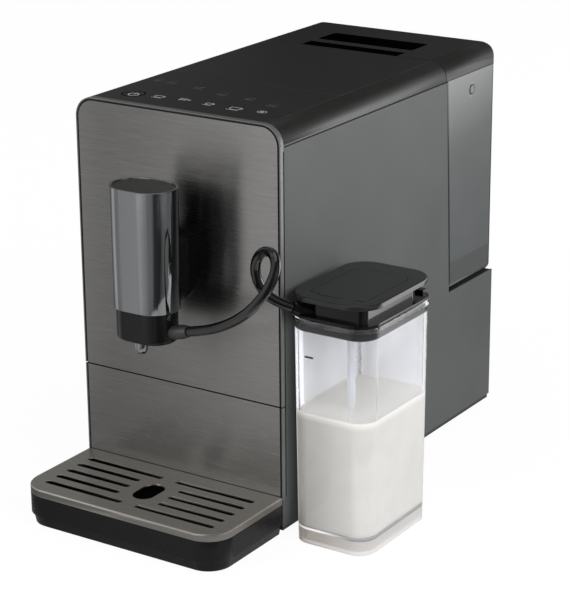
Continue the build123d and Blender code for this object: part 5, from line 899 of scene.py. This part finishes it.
def studio_floor():
    """A white floor. The camera, metal and clear plastic see it as white, with a faint shadow."""
    material, tree, _ = start_finish("white_studio_floor")
    share = add(tree, "ShaderNodeMath", {0: seen_directly(tree), 1: 0.9}, operation="MULTIPLY")
    paper = add(tree, "ShaderNodeBsdfDiffuse", {"Color": linear("#e6e6e6")})
    white = add(tree, "ShaderNodeEmission", {"Color": linear("#ffffff"), "Strength": 1.05})
    add(tree, "ShaderNodeOutputMaterial", {
        "Surface": add(tree, "ShaderNodeMixShader", {0: share, 1: paper, 2: white}),
    })
    material.cycles.emission_sampling = "NONE"
    shape = bmesh.new()
    bmesh.ops.create_grid(shape, x_segments=4, y_segments=4, size=FLOOR_HALF_SIZE)
    floor = new_piece("studio_floor", shape, material, None)
    floor.location.z = FLOOR_Z


def only_for_gloss(stage_piece):
    """Marks a studio piece that shows in reflections and nowhere else."""
    stage_piece.visible_camera = False
    stage_piece.visible_diffuse = False
    stage_piece.visible_transmission = False
    stage_piece.visible_shadow = False
    stage_piece.visible_volume_scatter = False


def ring_points(z):
    """Points on the oval round the machine on which the cards stand."""
    return [Vector((RING_HALF_WIDTH * math.cos(a), RING_HALF_DEPTH * math.sin(a), z))
            for a in (2 * math.pi * k / RING_SIDES for k in range(RING_SIDES))]


def studio_cards():
    """Upright cards round the machine. Their brightness changes with the direction, and polished
    and brushed pieces show them as bands."""
    material, tree, place = start_finish("studio_cards")
    x, y, z = add(tree, "ShaderNodeSeparateXYZ", {"Vector": place}).outputs
    angle = add(tree, "ShaderNodeMath", {0: y, 1: x}, operation="ARCTAN2")
    # The direction as a share of the whole turn: 0 at the left, 0.25 in front, 0.5 at the right.
    share = add(tree, "ShaderNodeMapRange", {"Value": angle, "From Min": -math.pi, "From Max": math.pi})
    ramp = add(tree, "ShaderNodeValToRGB", {"Fac": share})
    while len(ramp.color_ramp.elements) < len(CARD_STOPS):
        ramp.color_ramp.elements.new(0.5)
    for element, (degrees, value) in zip(ramp.color_ramp.elements, CARD_STOPS):
        element.position = (degrees + 180) / 360
        element.color = (value, value, value, 1)
    # Behind the machine and at its right the room is dark above the cards, so that the top looks
    # almost black.
    rear = add(tree, "ShaderNodeMapRange", {"Value": y, "From Min": 0.0, "From Max": 0.15})
    high = add(tree, "ShaderNodeMapRange", {"Value": z, "From Min": 0.3, "From Max": 0.42})
    dark_side = add(tree, "ShaderNodeMath", {
        0: rear, 1: inside(tree, (share, 0.44, 0.84, 0.02)),
    }, operation="MAXIMUM")
    dark = add(tree, "ShaderNodeMath", {0: dark_side, 1: high}, operation="MULTIPLY")
    # A bright strip at the right, level with the top, lights the cover's round edge. It rises
    # and fades towards the rear.
    risen = add(tree, "ShaderNodeMath", {0: share, 1: -1.62, 2: z}, operation="MULTIPLY_ADD")
    strip = inside(tree, (share, 0.545, 0.71, 0.02), (risen, -0.881, 9.0, 0.03), (z, -1.0, 0.34, 0.03))
    colour = ramp
    for mask, tone in ((dark, "#484848"), (strip, "#ffffff")):
        colour = add(tree, "ShaderNodeMix", {
            "Factor": mask, MIX_FIRST: colour, MIX_SECOND: linear(tone),
        }, data_type="RGBA")
    low = add(tree, "ShaderNodeMapRange", {
        "Value": z, "From Min": 0.0, "From Max": 0.08, "To Min": 0.85, "To Max": 1.0,
    })
    forward = add(tree, "ShaderNodeMapRange", {
        "Value": share, "From Min": 0.56, "From Max": 0.68, "To Min": 3.2, "To Max": 0.7,
    })
    glow = add(tree, "ShaderNodeEmission", {
        "Color": colour,
        "Strength": add(tree, "ShaderNodeMath", {0: strip, 1: forward, 2: low}, operation="MULTIPLY_ADD"),
    })
    add(tree, "ShaderNodeOutputMaterial", {"Surface": glow})
    material.cycles.emission_sampling = "NONE"
    shape = bmesh.new()
    join_loops(shape, [ring_points(RING_LOW), ring_points(RING_HIGH)], closed_ends=False)
    only_for_gloss(new_piece("studio_cards", shape, material, None))


def studio_cloth():
    """Dark cloth on the counter. The tray and the lower front show it: it is lighter towards the
    right, darkest just before the tray, and a pale card lies on it at the tray's right."""
    material, tree, place = start_finish("studio_cloth")
    x, y, _ = add(tree, "ShaderNodeSeparateXYZ", {"Vector": place}).outputs
    across = add(tree, "ShaderNodeMapRange", {
        "Value": x, "From Min": -0.26, "From Max": 0.0, "To Min": 0.22, "To Max": 0.62,
    })
    weave = add(tree, "ShaderNodeMapRange", {
        "Value": grain(tree, place, 8, 2), **NOISE_SPAN, "To Min": 0.95, "To Max": 1.05,
    })
    cloth = add(tree, "ShaderNodeMath", {0: across, 1: weave}, operation="MULTIPLY")
    cloth = add(tree, "ShaderNodeMath", {
        0: cloth, 1: inside(tree, (y, -0.255, -0.19, 0.01), most=0.12),
    }, operation="SUBTRACT")
    card = inside(tree, (x, 0.062, 0.3, 0.006), (y, -0.25, -0.05, 0.02), most=0.6)
    glow = add(tree, "ShaderNodeEmission", {
        "Color": linear("#ffffff"),
        "Strength": add(tree, "ShaderNodeMath", {0: cloth, 1: card}, operation="MAXIMUM"),
    })
    add(tree, "ShaderNodeOutputMaterial", {"Surface": glow})
    material.cycles.emission_sampling = "NONE"
    shape = bmesh.new()
    shape.faces.new([shape.verts.new(point) for point in ring_points(RING_LOW)])
    only_for_gloss(new_piece("studio_cloth", shape, material, None))


def studio_world():
    """A white room: full white where it is seen, and a plain grey level as light."""
    world = bpy.data.worlds.new("studio")
    bpy.context.scene.world = world
    world.use_nodes = True
    tree = world.node_tree
    tree.nodes.clear()
    room = add(tree, "ShaderNodeBackground", {"Color": linear("#ffffff"), "Strength": 0.45})
    white = add(tree, "ShaderNodeBackground", {"Color": linear("#ffffff"), "Strength": 1.0})
    add(tree, "ShaderNodeOutputWorld", {
        "Surface": add(tree, "ShaderNodeMixShader", {0: seen_directly(tree), 1: room, 2: white}),
    })


def soft_lamp(name, place, size, watts, aim):
    """A soft square lamp that shines at a point."""
    data = bpy.data.lights.new(name, "AREA")
    data.shape = "RECTANGLE"
    data.size, data.size_y = size
    data.energy = watts
    lamp = bpy.data.objects.new(name, data)
    bpy.context.scene.collection.objects.link(lamp)
    lamp.location = place
    lamp.rotation_mode = "QUATERNION"
    lamp.rotation_quaternion = (Vector(aim) - Vector(place)).to_track_quat("-Z", "Y")


studio_floor()
studio_cards()
studio_cloth()
studio_world()
for lamp in LAMPS:
    soft_lamp(*lamp)

scene = bpy.context.scene
scene.view_settings.view_transform = "Standard"
